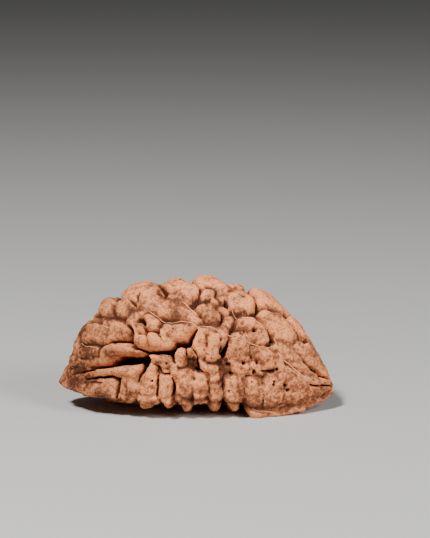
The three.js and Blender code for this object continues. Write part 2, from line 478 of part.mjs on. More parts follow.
// A course through places, as seen in the view or given by x and angle, with the half width at each.
function makeCourse(places, seen) {
  const points = places.map(([a, b]) => (seen ? flattened(placeSeen(a, b)) : placeAt(a, b)));
  const middle = new THREE.Box3().setFromPoints(points).getCenter(new THREE.Vector3());
  const extent = Math.max(...points.map((point) => point.distanceTo(middle)));
  return { seen, points, middle, extent };
}

// The least of (distance / half width) from a point to a course, and Infinity well away from it.
function nearness(place, course, widths) {
  const point = course.seen ? place.seen : place.point;
  if (point.distanceTo(course.middle) > course.extent + 2 * Math.max(...widths)) return Infinity;
  let least = Infinity;
  const foot = new THREE.Vector3();
  const step = new THREE.Vector3();
  const last = Math.max(course.points.length - 1, 1);
  for (let i = 0; i < last; i += 1) {
    const next = Math.min(i + 1, course.points.length - 1);
    step.copy(course.points[next]).sub(course.points[i]);
    foot.copy(point).sub(course.points[i]);
    const share = THREE.MathUtils.clamp(foot.dot(step) / Math.max(step.lengthSq(), TINY ** 2), 0, 1);
    const width = THREE.MathUtils.lerp(widths[i], widths[next], share);
    least = Math.min(least, foot.addScaledVector(step, -share).length() / width);
  }
  return least;
}

function makeLobe([rise, ridge], seen) {
  return { rise, widths: ridge.map((point) => point[2] * LOBE_SPREAD), course: makeCourse(ridge, seen) };
}

// How high a lobe lies over the half-moon, from the nearness of its ridge: round on top, with straight
// flanks below.
function heightOfLobe(place, { rise, widths, course }) {
  const t = nearness(place, course, widths);
  const fall = Math.min(FALL_SHARE * Math.max(...widths), FALL_MOST);
  const edge = Math.sqrt(1 - FLANK_START ** ROUND_POWER);
  const steepness = (ROUND_POWER * FLANK_START ** (ROUND_POWER - 1)) / (2 * edge);
  const round = t < FLANK_START ? Math.sqrt(1 - t ** ROUND_POWER) : edge - steepness * (t - FLANK_START);
  return rise - fall * (1 - round);
}

function makeFissure([depth, places], seen) {
  const widths = places.map((point) => Math.max(point[2], FISSURE_LEAST));
  return { depth, widths, course: makeCourse(places, seen) };
}

// How deep a fissure is at a place: full depth in its middle, and none past its sides.
function depthOfFissure(place, { depth, widths, course }) {
  return depth * (1 - THREE.MathUtils.smoothstep(nearness(place, course, widths), ...FISSURE_SIDE));
}

// The larger of two heights, rounded where they are nearly equal.
function softLarger(p, q) {
  if (p < q - CREASE) return q;
  const h = THREE.MathUtils.clamp(0.5 + (0.5 * (p - q)) / CREASE, 0, 1);
  return q + (p - q) * h + CREASE * h * (1 - h);
}

// How far along one ray the skin lies.
function reachOfSkin(ray, lobes, fissures) {
  const reach = reachOfHalfMoon(ray);
  const point = pointOn(ray, reach);
  const nearTip = Math.min(Math.abs(point.x) / HALF_LENGTH, 1) ** TIP_VALLEY_POWER;
  const wander = WANDER_SHIFTS.map((shift) => WANDER * smoothNoise(point, WANDER_SIZE, shift));
  point.add(new THREE.Vector3(...wander));
  const place = { point, seen: flattened(point) };
  let height = -THREE.MathUtils.lerp(VALLEY_DEPTH, TIP_VALLEY_DEPTH, nearTip);
  for (const lobe of lobes) height = softLarger(heightOfLobe(place, lobe), height);
  for (const fissure of fissures) height -= depthOfFissure(place, fissure);
  return reach + height;
}

// A point of the skin, cut flat where it would pass under the surface that the stone rests on. It takes
// the mean reach of rays spread between its neighbours, so that no edge of a lobe turns ragged.
function skinPoint(along, round, spread, lobes, fissures) {
  let sum = 0;
  for (const i of THIRDS) {
    for (const j of THIRDS) {
      sum += reachOfSkin(rayAt(along + i * spread, round + j * ROUND_SPREAD), lobes, fissures);
    }
  }
  const ray = rayAt(along, round);
  const point = pointOn(ray, sum / THIRDS.length ** 2);
  return point.z < 0 ? pointOn(ray, ray.start.z / -ray.way.z).setZ(0) : point;
}

// The rays' angles along the stone, from the beak to the blunt tip, so that the rings are evenly spaced
// on the shoulder of the half-moon rather than evenly spaced in angle.
function ringAngles() {
  const lengths = [0];
  let last = null;
  for (let i = 0; i <= SHOULDER_SAMPLES; i += 1) {
    const ray = rayAt((Math.PI * i) / SHOULDER_SAMPLES, SHOULDER);
    const here = pointOn(ray, reachOfHalfMoon(ray));
    if (last) lengths.push(lengths[lengths.length - 1] + here.distanceTo(last));
    last = here;
  }
  const total = lengths[SHOULDER_SAMPLES];
  const angles = [];
  for (let ring = 0; ring <= RINGS; ring += 1) {
    const wanted = (total * ring) / RINGS;
    const after = Math.max(lengths.findIndex((length) => length >= wanted - TINY ** 2), 1);
    const share = (wanted - lengths[after - 1]) / (lengths[after] - lengths[after - 1]);
    angles.push((Math.PI * (after - 1 + share)) / SHOULDER_SAMPLES);
  }
  return angles;
}

// The closed skin: a point at the beak, the rings, and a point at the blunt tip, joined by triangles.
function stoneGeometry() {
  const lobes = [
    ...[...FRONT_LOBES, ...SEAM_LOBES].map((lobe) => makeLobe(lobe, true)),
    ...[...UNDERSIDE_LOBES, ...backLobes()].map((lobe) => makeLobe(lobe, false)),
  ];
  const fissures = [
    ...FRONT_FISSURES.map((fissure) => makeFissure(fissure, true)),
    ...OTHER_FISSURES.map((fissure) => makeFissure(fissure, false)),
  ];
  const rings = ringAngles();
  const positions = [];
  const put = (along, round, spread) => {
    positions.push(...skinPoint(along, round, spread, lobes, fissures).toArray());
  };
  put(0, 0, rings[1] / THIRDS.length);
  for (let ring = 1; ring < RINGS; ring += 1) {
    const spread = (rings[ring + 1] - rings[ring - 1]) / 2 / THIRDS.length;
    for (let i = 0; i < RING_POINTS; i += 1) put(rings[ring], (2 * Math.PI * i) / RING_POINTS, spread);
  }
  put(Math.PI, 0, (Math.PI - rings[RINGS - 1]) / THIRDS.length);

  const faces = [];
  const at = (ring, i) => 1 + (ring - 1) * RING_POINTS + (i % RING_POINTS);
  const blunt = positions.length / 3 - 1;
  for (let i = 0; i < RING_POINTS; i += 1) {
    faces.push(0, at(1, i + 1), at(1, i));
    faces.push(blunt, at(RINGS - 1, i), at(RINGS - 1, i + 1));
    for (let ring = 1; ring < RINGS - 1; ring += 1) {
      const corners = [at(ring, i), at(ring, i + 1), at(ring + 1, i + 1), at(ring + 1, i)];
      faces.push(corners[0], corners[1], corners[2], corners[0], corners[2], corners[3]);
    }
  }
  const geometry = new THREE.BufferGeometry();
  geometry.setAttribute("position", new THREE.Float32BufferAttribute(positions, 3));
  geometry.setIndex(faces);
  geometry.computeVertexNormals();
  return geometry;
}

const WOOD_COLOR = 0xb87f60;
const WOOD_ROUGHNESS = 0.72;
const shell = new THREE.MeshStandardMaterial({ color: WOOD_COLOR, roughness: WOOD_ROUGHNESS, metalness: 0 });
const stone = new THREE.Mesh(stoneGeometry(), shell);
stone.name = "rudraksha_stone";

const bead = new THREE.Group();
bead.add(stone);
export default bead;
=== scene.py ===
"""The looks of a one mukhi rudraksha: a half-moon shaped fruit stone with a lobed, fissured skin.

The skin is one closed surface over two parameters, an angle along the stone and an angle round it. Each
pair of angles gives a ray that leaves an axis inside the stone. Where it meets a half-moon, the highest of
many rounded lobes says how far above or below the half-moon the skin lies, and fissures, wrinkles, pores
and a fine grain are cut in. Tables give the front's lobes as they are seen in the photograph's view.
Shapes are worked out in millimetres and put into meshes in metres.
"""

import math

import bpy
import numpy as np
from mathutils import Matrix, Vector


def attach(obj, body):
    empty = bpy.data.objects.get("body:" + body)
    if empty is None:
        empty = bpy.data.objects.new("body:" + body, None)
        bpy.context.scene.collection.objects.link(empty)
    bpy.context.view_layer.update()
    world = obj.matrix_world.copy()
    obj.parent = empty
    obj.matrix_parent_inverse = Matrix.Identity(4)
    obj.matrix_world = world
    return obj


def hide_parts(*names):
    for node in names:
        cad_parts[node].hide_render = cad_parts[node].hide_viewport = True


bl_info = {
    "name": "One mukhi rudraksha",
    "version": (1, 0, 0),
    "blender": (4, 5, 0),
    "location": "View3D > Sidebar > Rudraksha",
    "description": "Builds a half-moon rudraksha stone, its vein threads and a small studio",
    "category": "Object",
}

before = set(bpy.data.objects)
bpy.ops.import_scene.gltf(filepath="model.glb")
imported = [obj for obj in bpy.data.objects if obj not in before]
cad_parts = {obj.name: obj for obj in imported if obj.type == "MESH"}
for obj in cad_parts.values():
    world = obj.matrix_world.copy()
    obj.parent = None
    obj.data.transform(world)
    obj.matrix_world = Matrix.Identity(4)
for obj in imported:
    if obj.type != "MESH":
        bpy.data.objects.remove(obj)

STONE_NODE = "rudraksha_stone"
BODY = "root"
MM = 0.001

# The half-moon that the tops of the lobes touch, in millimetres. Over its blunt tip its end stands back, by
# an amount that grows from one height over the tip to another.
HALF_LENGTH = 13.7
TIP_HEIGHT = 2.3
CREST_HEIGHT = 13.2
HALF_THICKNESS = 5.4
SEAM_DROP = 0.1
BLUNT_SETBACK = 0.5
SETBACK_RISE = (0.1, 1.0)

# How full the half-moon's outlines are, as powers: the arch and the keel towards the beak and towards the
# blunt tip, the way the thickness runs out along the stone, and the section's top, foot and sides.
BEAK_ARCH = 2.6
BLUNT_ARCH = 2.3
BEAK_KEEL = 4
BLUNT_KEEL = 3
THICKNESS_TAPER = (2.2, 0.6)
TOP_FULLNESS = 2.0
FOOT_FULLNESS = 3.0
SIDE_FULLNESS = 2.2

# What is added to the half-moon's value past its tips, so that no ray or line of sight meets it there.
PAST_TIP = 10

# The axis that the rays leave, how far they may reach, how often a range is halved to find where a ray ends
# and which ray passes through a point of a thread, and the steps along a line of sight. Then a length or
# angle too small to matter, and the least values that are divided by.
AXIS_HEIGHT = 5.0
AXIS_HALF = 8.5
FAR = 20.0
HALVINGS = 24
THREAD_HALVINGS = 30
SIGHT_STEP = 0.1
TINY = 0.001
LEAST_FALL = 1e-6
LEAST_SQUARE = 1e-9

# How the front of the underside slopes up to the front edge, from this far behind the middle, and where
# along the stone the slope ends, so that the beak's rim reaches down to the surface.
SLOPE = 0.287
SLOPE_START = 1.1
SLOPE_END = (3.8, 5.4)

# The view that the front's places are given in: level with the middle of the stone, from this angle
# above and this distance away. Depth along the line of sight counts for less than it is, so that a lobe
# keeps its outline as seen and runs back over the shoulder.
VIEW_ELEVATION = math.radians(16)
VIEW_DISTANCE = 210.0
SIGHT = np.array([0.0, math.cos(VIEW_ELEVATION), -math.sin(VIEW_ELEVATION)])
VIEW_UP = np.array([0.0, math.sin(VIEW_ELEVATION), math.cos(VIEW_ELEVATION)])
SIGHT_SHARE = 0.45

# How far the valleys between lobes lie under the half-moon, in the middle and at the tips, the power by
# which the one depth runs into the other, and how softly one lobe runs into the next.
VALLEY_DEPTH = 0.85
TIP_VALLEY_DEPTH = 0.2
TIP_VALLEY_POWER = 4
CREASE = 0.12

# The round of a lobe: how much wider it is than the part of it that its neighbours leave free, how far it
# falls from its ridge, as a share of its half width and at most, how square its section is, and where its
# round runs on into a straight flank.
LOBE_SPREAD = 1.2
FALL_SHARE = 0.95
FALL_MOST = 1.25
ROUND_POWER = 2.4
FLANK_START = 0.9

# How far the outlines wander, over which distance, and places in the noise for it: first the slow
# wander of the lobes, then a fine ripple.
WANDER = (0.14, 2.2, (3.1, 17.3, 31.7))
RIPPLE = (0.09, 0.55, (5.1, 19.3, 37.7))

# Where the side of a fissure, of a pore and of a stain or patch of painted shade begins and ends, in half
# widths.
FISSURE_SIDE = (0.5, 1.3)
PORE_SIDE = (0.1, 1.25)
STAIN_AND_SHADE_SIDE = (0.2, 1.5)

# The knobbly relief of the lobes and the relief of the grain: each is (height, size, shift of its noise).
# The knobs get lower by a share from one x to another, towards the smooth ridges of the beak.
KNOBS = [(0.26, 1.7, 12.9), (0.13, 0.8, 5.3)]
KNOBS_END = (6.0, 10.0)
KNOBS_LOSS = 0.7
GRAIN = [(0.05, 0.45, 2.2), (0.022, 0.22, 9.1)]

# The mean of a noise's size, which the knobs rise above and sink below.
KNOB_MIDDLE = 0.3

# The rough band of torn fibres along the lower front edge: its middle and half width as an angle round the
# stone in degrees, the share of that width at full strength, the (height, size, shift) of its noise, and
# where along the stone and by how much it gets smoother.
BAND_MIDDLE = -44.0
BAND_HALF = 16.0
BAND_CORE = 0.5
BAND_NOISES = [(0.22, 0.6, 6.6), (0.10, 0.27, 3.9)]
BAND_END = (3.5, 6.0)
BAND_LOSS = 0.9

# The vein threads: steps between their rings and the least number of them, sides, height against width,
# waver and smoothing. Then the mean and the range of their swelling, the size and shift of its noise, how
# many half widths from its end a thread is at full width, and how thin it ends, as a share before a root.
THREAD_STEP = 0.08
THREAD_LEAST_STEPS = 4
THREAD_SIDES = 6
THREAD_HEIGHT = 0.5
THREAD_WAVER = (0.06, 0.8, (6.1, 21.3, 41.7))
THREAD_SMOOTHING = 4
THREAD_SWELL = (0.8, 0.4)
THREAD_SWELL_NOISE = (0.6, 4.4)
THREAD_TAPER = 5
THREAD_END = 0.02

# How finely the skin is cut into faces: rings along the stone, and points in each ring. The rings are
# spaced by the length of a line on the half-moon's shoulder, at this angle round, measured on samples.
RINGS = 332
RING_POINTS = 300
SHOULDER = math.pi / 3
SHOULDER_SAMPLES = 401

# How often the depths are blended with their neighbours, to tell what lies deeper than its surroundings:
# close by for crevices, and further off for hollows.
CREVICE_PASSES = 12
HOLLOW_PASSES = 200

# The photograph's frame in pixels, the pixel where the origin lies, and pixels per millimetre there. Then
# the camera's sensor in millimetres, and how near and how far it sees in metres.
PHOTO_WIDTH = 430
PHOTO_HEIGHT = 538
ORIGIN_PIXEL = (197.0, 406.4)
PIXELS_PER_MM = 10.0
SENSOR_WIDTH = 36.0
CLIP = (0.001, 10)

# The lamps, each (place, side of its square) in metres, and the point that they face.
KEY_LAMP = ((-0.09, -0.12, 0.21), 0.04)
SIDE_LAMP = ((0.15, -0.12, 0.12), 0.08)
LAMP_TARGET = (0, 0, 0.006)

# The wood's noises, each (size in metres, detail, roughness).
PATCHES = (2.6 * MM, 3.0, 0.6)
BLOTCHES = (0.9 * MM, 4.0, 0.65)
MOTTLE = (0.38 * MM, 3.0, 0.7)
SPECKS = (0.16 * MM, 2.0, 0.7)

# What makes the wood pale, and what makes it dark brown. Pale comes from noise, from painted highlight where
# the skin stands higher than its surroundings, and from painted shade in broad hollows. Dark brown comes from
# painted shade in hollows and creases, from stains (some of them painted shade), from the rough band, and it
# grows towards the blunt end. Each is (value, from, to, its share there and there), and the shares are
# summed.
PALE_TERMS = [
    ("blotches", 0.36, 0.64, -0.05, 0.8),
    ("hollow", -0.3, 0.3, 0.35, -0.5),
    ("patches", 0.3, 0.7, -0.3, 0.3),
    ("mottle", 0.32, 0.68, -0.6, 0.6),
    ("crevice", -0.12, 0.0, 0.5, 0.0),
]
SHADE_AND_BROWN_TERMS = [
    ("hollow", 0.05, 0.6, 0.0, 1.0),
    ("crevice", 0.02, 0.2, 0.0, 1.0),
    ("stain_and_shade", 0.0, 1.0, 0.0, 0.68),
    ("band", 0.0, 1.0, 0.0, 0.3),
    ("along", -11.0 * MM, -4.0 * MM, 0.65, 0.0),
]

# How the mottling breaks up the painted shade and the brown, how much of the sum shows, which of the finest
# noise makes dark specks, and how deep under the half-moon the near-black painted shade of the fissures
# begins and ends: ranges as above.
SHADE_AND_BROWN_MOTTLE = (0.3, 0.7, 1.35, 0.55)
SHADE_AND_BROWN_SHOWN = (0.0, 1.15, 0.0, 0.92)
SPECKS_SHOWN = (0.34, 0.50, 0.65, 0.0)
FISSURE_SHADE_DEPTH = (1.1, 1.8)

# The wood's surface: roughness, gloss, the parts of two noises in its bumps, their strength and height.
WOOD_ROUGHNESS = 0.65
WOOD_GLOSS = 0.2
BUMP_MOTTLE = 0.6
BUMP_SPECKS = 0.4
BUMP_STRENGTH = 0.7
BUMP_HEIGHT = 0.10 * MM

# The threads' patches and where in their noise they are, and the roughness of the threads and the floor.
THREAD_PATCHES = (0.6 * MM, 3.0, 0.6)
THREAD_PATCHES_SHOWN = (0.35, 0.7)
THREAD_ROUGHNESS = 0.6
FLOOR_ROUGHNESS = 0.8

# The lobes of the front and the crest, as seen in the view. Each is [height over the half-moon, its ridge
# as [across, up, half width] points].
FRONT_LOBES = [
    # The bean at the upper left, the shell behind it and the balls over it.
    [0.35, [[-10.8, 7.25, 1.1], [-9.4, 7.3, 1.05], [-7.8, 7.4, 1.1]]],
    [0.45, [[-9.0, 7.65, 0.85], [-8.1, 7.7, 0.85]]],
    [0.0, [[-12.2, 5.5, 0.45], [-12.2, 6.8, 0.5], [-11.5, 8.0, 0.5], [-10.2, 8.5, 0.5], [-9.2, 8.5, 0.45]]],
    [0.55, [[-9.0, 9.7, 0.9], [-8.8, 10.05, 0.95]]],
    [0.2, [[-8.2, 10.6, 0.5]]],
    [0.4, [[-7.4, 9.8, 1.0]]],
    [0.1, [[-6.6, 9.9, 0.6], [-6.3, 9.3, 0.5]]],
    # The lobe and the folded ridge under the bean.
    [0.12, [[-11.7, 5.4, 0.5], [-10.5, 5.45, 0.65]]],
    [-0.05, [[-12.8, 4.2, 0.3], [-11.5, 4.3, 0.4], [-9.9, 4.6, 0.45]]],
    [-0.25, [[-12.8, 3.5, 0.3], [-11.2, 3.85, 0.3]]],
    [-0.05, [[-12.7, 4.8, 0.4], [-12.1, 4.7, 0.3]]],
    [0.1, [[-9.6, 4.5, 0.45], [-8.8, 4.75, 0.45]]],
    [0.3, [[-9.2, 5.2, 0.55], [-8.5, 5.75, 0.5], [-7.6, 5.85, 0.45]]],
    [0.3, [[-7.3, 5.7, 0.48], [-6.8, 5.3, 0.36]]],
    [-0.2, [[-6.6, 5.1, 0.35], [-5.9, 5.4, 0.35]]],
    # The lower left limb, its leg, its foot and its tip.
    [0.1, [[-12.3, 2.65, 0.45], [-11.0, 3.05, 0.5], [-9.9, 3.35, 0.45], [-8.7, 3.3, 0.38], [-7.6, 3.4, 0.5]]],
    [0.2, [[-7.3, 3.35, 0.5], [-6.65, 3.1, 0.9], [-6.8, 2.2, 0.98], [-6.85, 1.4, 0.98]]],
    [0.2, [[-12.2, 1.95, 0.6], [-10.4, 1.8, 0.95], [-8.95, 1.8, 0.85]]],
    [0.05, [[-13.5, 2.2, 0.38], [-12.8, 2.25, 0.75], [-12.2, 2.3, 0.8]]],
    # The knuckled mass at the middle left.
    [-0.2, [[-6.0, 8.3, 0.9], [-5.8, 7.1, 1.0], [-4.6, 6.9, 1.15], [-3.4, 6.9, 1.0]]],
    [0.15, [[-6.8, 8.5, 0.4], [-6.2, 8.9, 0.6], [-5.6, 9.1, 0.45]]],
    [0.3, [[-6.35, 8.1, 0.4], [-6.25, 7.4, 0.42]]],
    [0.5, [[-5.7, 7.6, 0.5]]],
    [0.2, [[-5.2, 7.8, 0.45]]],
    [0.5, [[-4.75, 8.45, 0.58], [-4.35, 8.1, 0.68]]],
    [0.4, [[-5.9, 6.8, 0.52], [-5.5, 6.55, 0.55]]],
    [0.5, [[-4.4, 6.7, 0.64], [-3.95, 6.5, 0.64]]],
    [0.35, [[-3.45, 7.4, 0.36], [-3.2, 6.6, 0.45]]],
    [0.15, [[-3.0, 6.15, 0.5]]],
    # The long lobe beside it.
    [0.35, [[-2.9, 7.5, 0.85], [-1.9, 7.4, 0.95], [-0.9, 7.6, 0.75], [-0.5, 7.8, 0.55]]],
    # The wrinkled dome, its folded side and the long belly under it.
    [0.65, [[-6.0, 11.05, 1.5], [-5.2, 11.1, 1.5]]],
    [0.15, [[-4.5, 11.7, 0.75], [-3.6, 11.5, 0.55]]],
    [0.45, [[-5.3, 10.6, 0.8], [-4.6, 10.4, 0.8]]],
    [0.3, [[-5.0, 10.0, 0.95], [-3.6, 9.9, 1.1], [-2.0, 9.5, 1.05], [-0.7, 8.9, 0.85], [0.1, 8.4, 0.55]]],
    # The upper middle.
    [0.4, [[-2.7, 11.9, 1.0], [-2.2, 12.15, 1.0]]],
    [0.5, [[-1.6, 11.8, 0.75], [-0.7, 11.3, 1.0]]],
    [0.15, [[-2.4, 10.9, 0.8], [-1.2, 10.5, 0.7]]],
    [0.35, [[0.4, 12.4, 0.85], [1.2, 12.45, 0.9], [2.1, 12.05, 0.8], [2.8, 11.5, 0.55]]],
    [0.2, [[0.8, 11.3, 0.55], [1.4, 11.4, 0.6]]],
    [0.1, [[2.3, 11.2, 0.4], [2.7, 10.9, 0.35]]],
    [0.1, [[1.8, 10.4, 0.42]]],
    [0.0, [[0.6, 10.7, 0.3]]],
    [0.2, [[0.9, 9.6, 0.95], [1.5, 9.0, 1.0]]],
    [-0.05, [[2.4, 9.8, 0.4], [2.9, 9.5, 0.4]]],
    [0.1, [[2.7, 7.8, 0.5], [3.15, 8.6, 0.55]]],
    [-0.5, [[3.75, 8.1, 0.5]]],
    [0.1, [[4.5, 8.25, 0.65], [5.3, 8.15, 0.7]]],
    [0.0, [[0.4, 8.0, 0.35], [1.7, 7.75, 0.45], [2.8, 7.3, 0.4]]],
    # The upper right.
    [0.4, [[4.1, 10.6, 1.1], [4.8, 10.1, 1.05]]],
    [0.0, [[3.3, 11.9, 0.5], [4.3, 12.0, 0.5]]],
    [0.1, [[4.6, 11.2, 0.5]]],
    [0.35, [[5.8, 11.3, 0.6], [6.6, 10.9, 0.9], [7.3, 10.3, 0.95], [8.2, 9.7, 0.5]]],
    [0.35, [[6.9, 8.8, 0.8], [7.9, 8.4, 1.0], [8.8, 7.4, 1.1], [9.2, 6.9, 0.95]]],
    [0.2, [[9.5, 8.6, 0.55], [10.2, 7.9, 0.6], [10.5, 7.2, 0.4]]],
    [0.05, [[6.3, 7.7, 0.75], [6.6, 6.9, 0.8]]],
    # The ridges that run together at the beak.
    [0.1, [[8.5, 5.9, 0.8], [9.6, 4.9, 0.85], [10.8, 3.8, 0.7], [11.8, 3.0, 0.45]]],
    [0.15, [[9.9, 6.1, 0.7], [10.8, 5.0, 0.6], [12.0, 3.8, 0.5], [13.0, 2.8, 0.35]]],
    [-0.05, [[11.3, 6.1, 0.35], [12.2, 5.1, 0.35], [12.9, 3.8, 0.3]]],
    [0.1, [[11.2, 2.65, 0.4], [12.3, 2.4, 0.4], [13.2, 2.3, 0.3]]],
    # The smooth field under the beak's ridges, and the lobes beside it.
    [0.1, [[9.0, 2.5, 1.7], [10.2, 1.5, 1.7]]],
    [0.1, [[8.2, 1.0, 1.3], [9.8, 0.9, 1.2]]],
    [0.0, [[10.5, 1.2, 1.2], [12.0, 1.3, 0.9], [13.2, 1.6, 0.4]]],
    [0.05, [[7.7, 0.8, 1.1], [7.8, 2.3, 1.3]]],
    [-0.05, [[5.7, 0.1, 0.5], [7.5, 0.0, 0.55], [9.5, 0.1, 0.55], [11.2, 0.55, 0.5]]],
    [0.1, [[6.7, 5.1, 1.0], [7.3, 4.6, 1.1]]],
    [-0.05, [[7.9, 5.6, 0.4], [8.3, 4.4, 0.5], [8.4, 3.7, 0.5]]],
    [0.15, [[4.0, 5.6, 1.3], [4.7, 5.4, 1.2]]],
    [0.1, [[5.8, 5.4, 0.8]]],
    [-0.05, [[3.6, 4.4, 0.5], [4.1, 3.8, 0.8], [4.4, 3.2, 0.8]]],
    [0.0, [[4.6, 3.9, 0.9], [5.6, 3.8, 0.95], [6.4, 3.6, 0.8]]],
    [-0.4, [[2.6, 4.1, 0.7], [3.2, 3.5, 0.6]]],
    [-0.4, [[2.5, 3.7, 0.5], [2.5, 2.7, 0.4]]],
    [0.0, [[3.7, 6.95, 0.5], [5.2, 6.95, 0.75], [6.2, 6.8, 0.8]]],
    # The columns of the lower edge, from left to right.
    [0.15, [[-4.95, 1.5, 1.1], [-4.95, 2.5, 0.9], [-4.85, 3.4, 0.5]]],
    [0.1, [[-3.3, 1.3, 0.75], [-3.25, 2.7, 0.7]]],
    [0.0, [[-2.5, 2.3, 0.3], [-2.45, 3.6, 0.35], [-2.4, 4.0, 0.25]]],
    [0.15, [[-1.4, 1.4, 0.95], [-1.35, 2.8, 0.95]]],
    [0.15, [[0.15, 1.4, 1.0], [0.2, 2.3, 0.95]]],
    [0.12, [[1.75, 0.9, 0.75], [1.7, 1.8, 0.7]]],
    [0.1, [[1.6, 2.7, 0.65], [1.4, 3.6, 0.75]]],
    [0.05, [[0.4, 4.6, 0.35], [0.9, 3.9, 0.45]]],
    [0.1, [[3.65, 0.7, 1.1], [3.7, 2.0, 1.1]]],
    [0.1, [[5.75, 0.5, 1.0], [5.75, 2.2, 1.0]]],
    [0.05, [[-1.3, 2.2, 0.95], [0.2, 2.0, 0.9]]],
    [0.0, [[3.7, 1.4, 0.95], [5.75, 1.3, 0.95], [7.7, 1.4, 1.0]]],
    # Sunken pieces over the columns.
    [-0.45, [[-5.15, 5.0, 0.3], [-4.6, 4.7, 0.55], [-3.9, 4.4, 0.6]]],
    [-0.35, [[-3.3, 4.4, 0.85], [-3.3, 4.05, 0.8]]],
    [0.0, [[-1.85, 5.25, 0.65], [-1.7, 4.5, 0.6]]],
    [-0.2, [[-0.8, 5.4, 0.42], [-0.55, 5.3, 0.42]]],
    [-0.65, [[-0.7, 4.4, 0.6]]],
    # The twin ridges at the middle.
    [-0.3, [[0.7, 6.7, 1.0], [1.1, 5.9, 1.1]]],
    [0.5, [[0.25, 7.2, 0.55], [0.15, 6.3, 0.6], [0.35, 5.4, 0.52]]],
    [0.5, [[1.6, 6.8, 0.5], [1.6, 6.0, 0.6], [1.45, 5.15, 0.62]]],
    [0.25, [[0.4, 7.5, 0.5], [1.3, 7.5, 0.45]]],
    [0.12, [[2.25, 5.9, 0.55], [2.4, 6.8, 0.65]]],
]

# Knobs and lips of the seam along the lower front edge, given in the same way.
SEAM_LOBES = [
    [-0.1, [[-12.6, 1.6, 0.3], [-11.2, 1.15, 0.35], [-9.9, 1.0, 0.35]]],
    [-0.05, [[-9.0, 1.1, 0.3], [-8.2, 0.95, 0.35]]],
    [0.15, [[-7.3, 0.95, 0.4], [-6.7, 0.75, 0.4]]],
    [0.0, [[-6.4, 0.9, 0.3], [-5.7, 0.9, 0.3]]],
    [0.2, [[-5.6, 0.75, 0.4], [-5.0, 0.6, 0.45], [-4.3, 0.65, 0.45]]],
    [0.55, [[-5.3, 0.5, 0.36], [-4.8, 0.4, 0.38]]],
    [0.3, [[-4.2, 0.6, 0.36], [-4.0, 0.5, 0.34]]],
    [0.45, [[-2.9, 0.5, 0.3], [-2.8, 0.35, 0.35]]],
    [0.15, [[-3.2, 0.7, 0.35], [-2.5, 0.45, 0.4]]],
    [0.05, [[-1.9, 0.6, 0.35]]],
    [0.3, [[-1.4, 0.45, 0.4], [-0.7, 0.35, 0.4]]],
    [0.9, [[-1.0, 0.35, 0.36], [-0.9, 0.05, 0.42]]],
    [0.1, [[-0.3, 0.45, 0.35], [0.6, 0.45, 0.4]]],
    [0.3, [[1.3, 0.35, 0.4], [1.9, 0.3, 0.4]]],
    [0.9, [[1.65, 0.35, 0.4], [1.65, 0.05, 0.45]]],
    [0.5, [[2.8, 0.2, 0.4], [4.0, 0.0, 0.4]]],
    [0.85, [[3.5, 0.35, 0.36], [3.3, 0.1, 0.42], [3.9, 0.0, 0.42]]],
    [0.75, [[4.9, -0.65, 0.38], [6.2, -0.7, 0.4], [7.6, -0.72, 0.38], [9.0, -0.65, 0.36]]],
    [0.65, [[9.0, -0.65, 0.36], [10.3, -0.45, 0.36]]],
    [0.45, [[10.3, -0.45, 0.36], [11.4, -0.1, 0.35]]],
    [0.25, [[11.4, -0.1, 0.35], [12.5, 0.55, 0.35], [13.3, 1.25, 0.28]]],
]

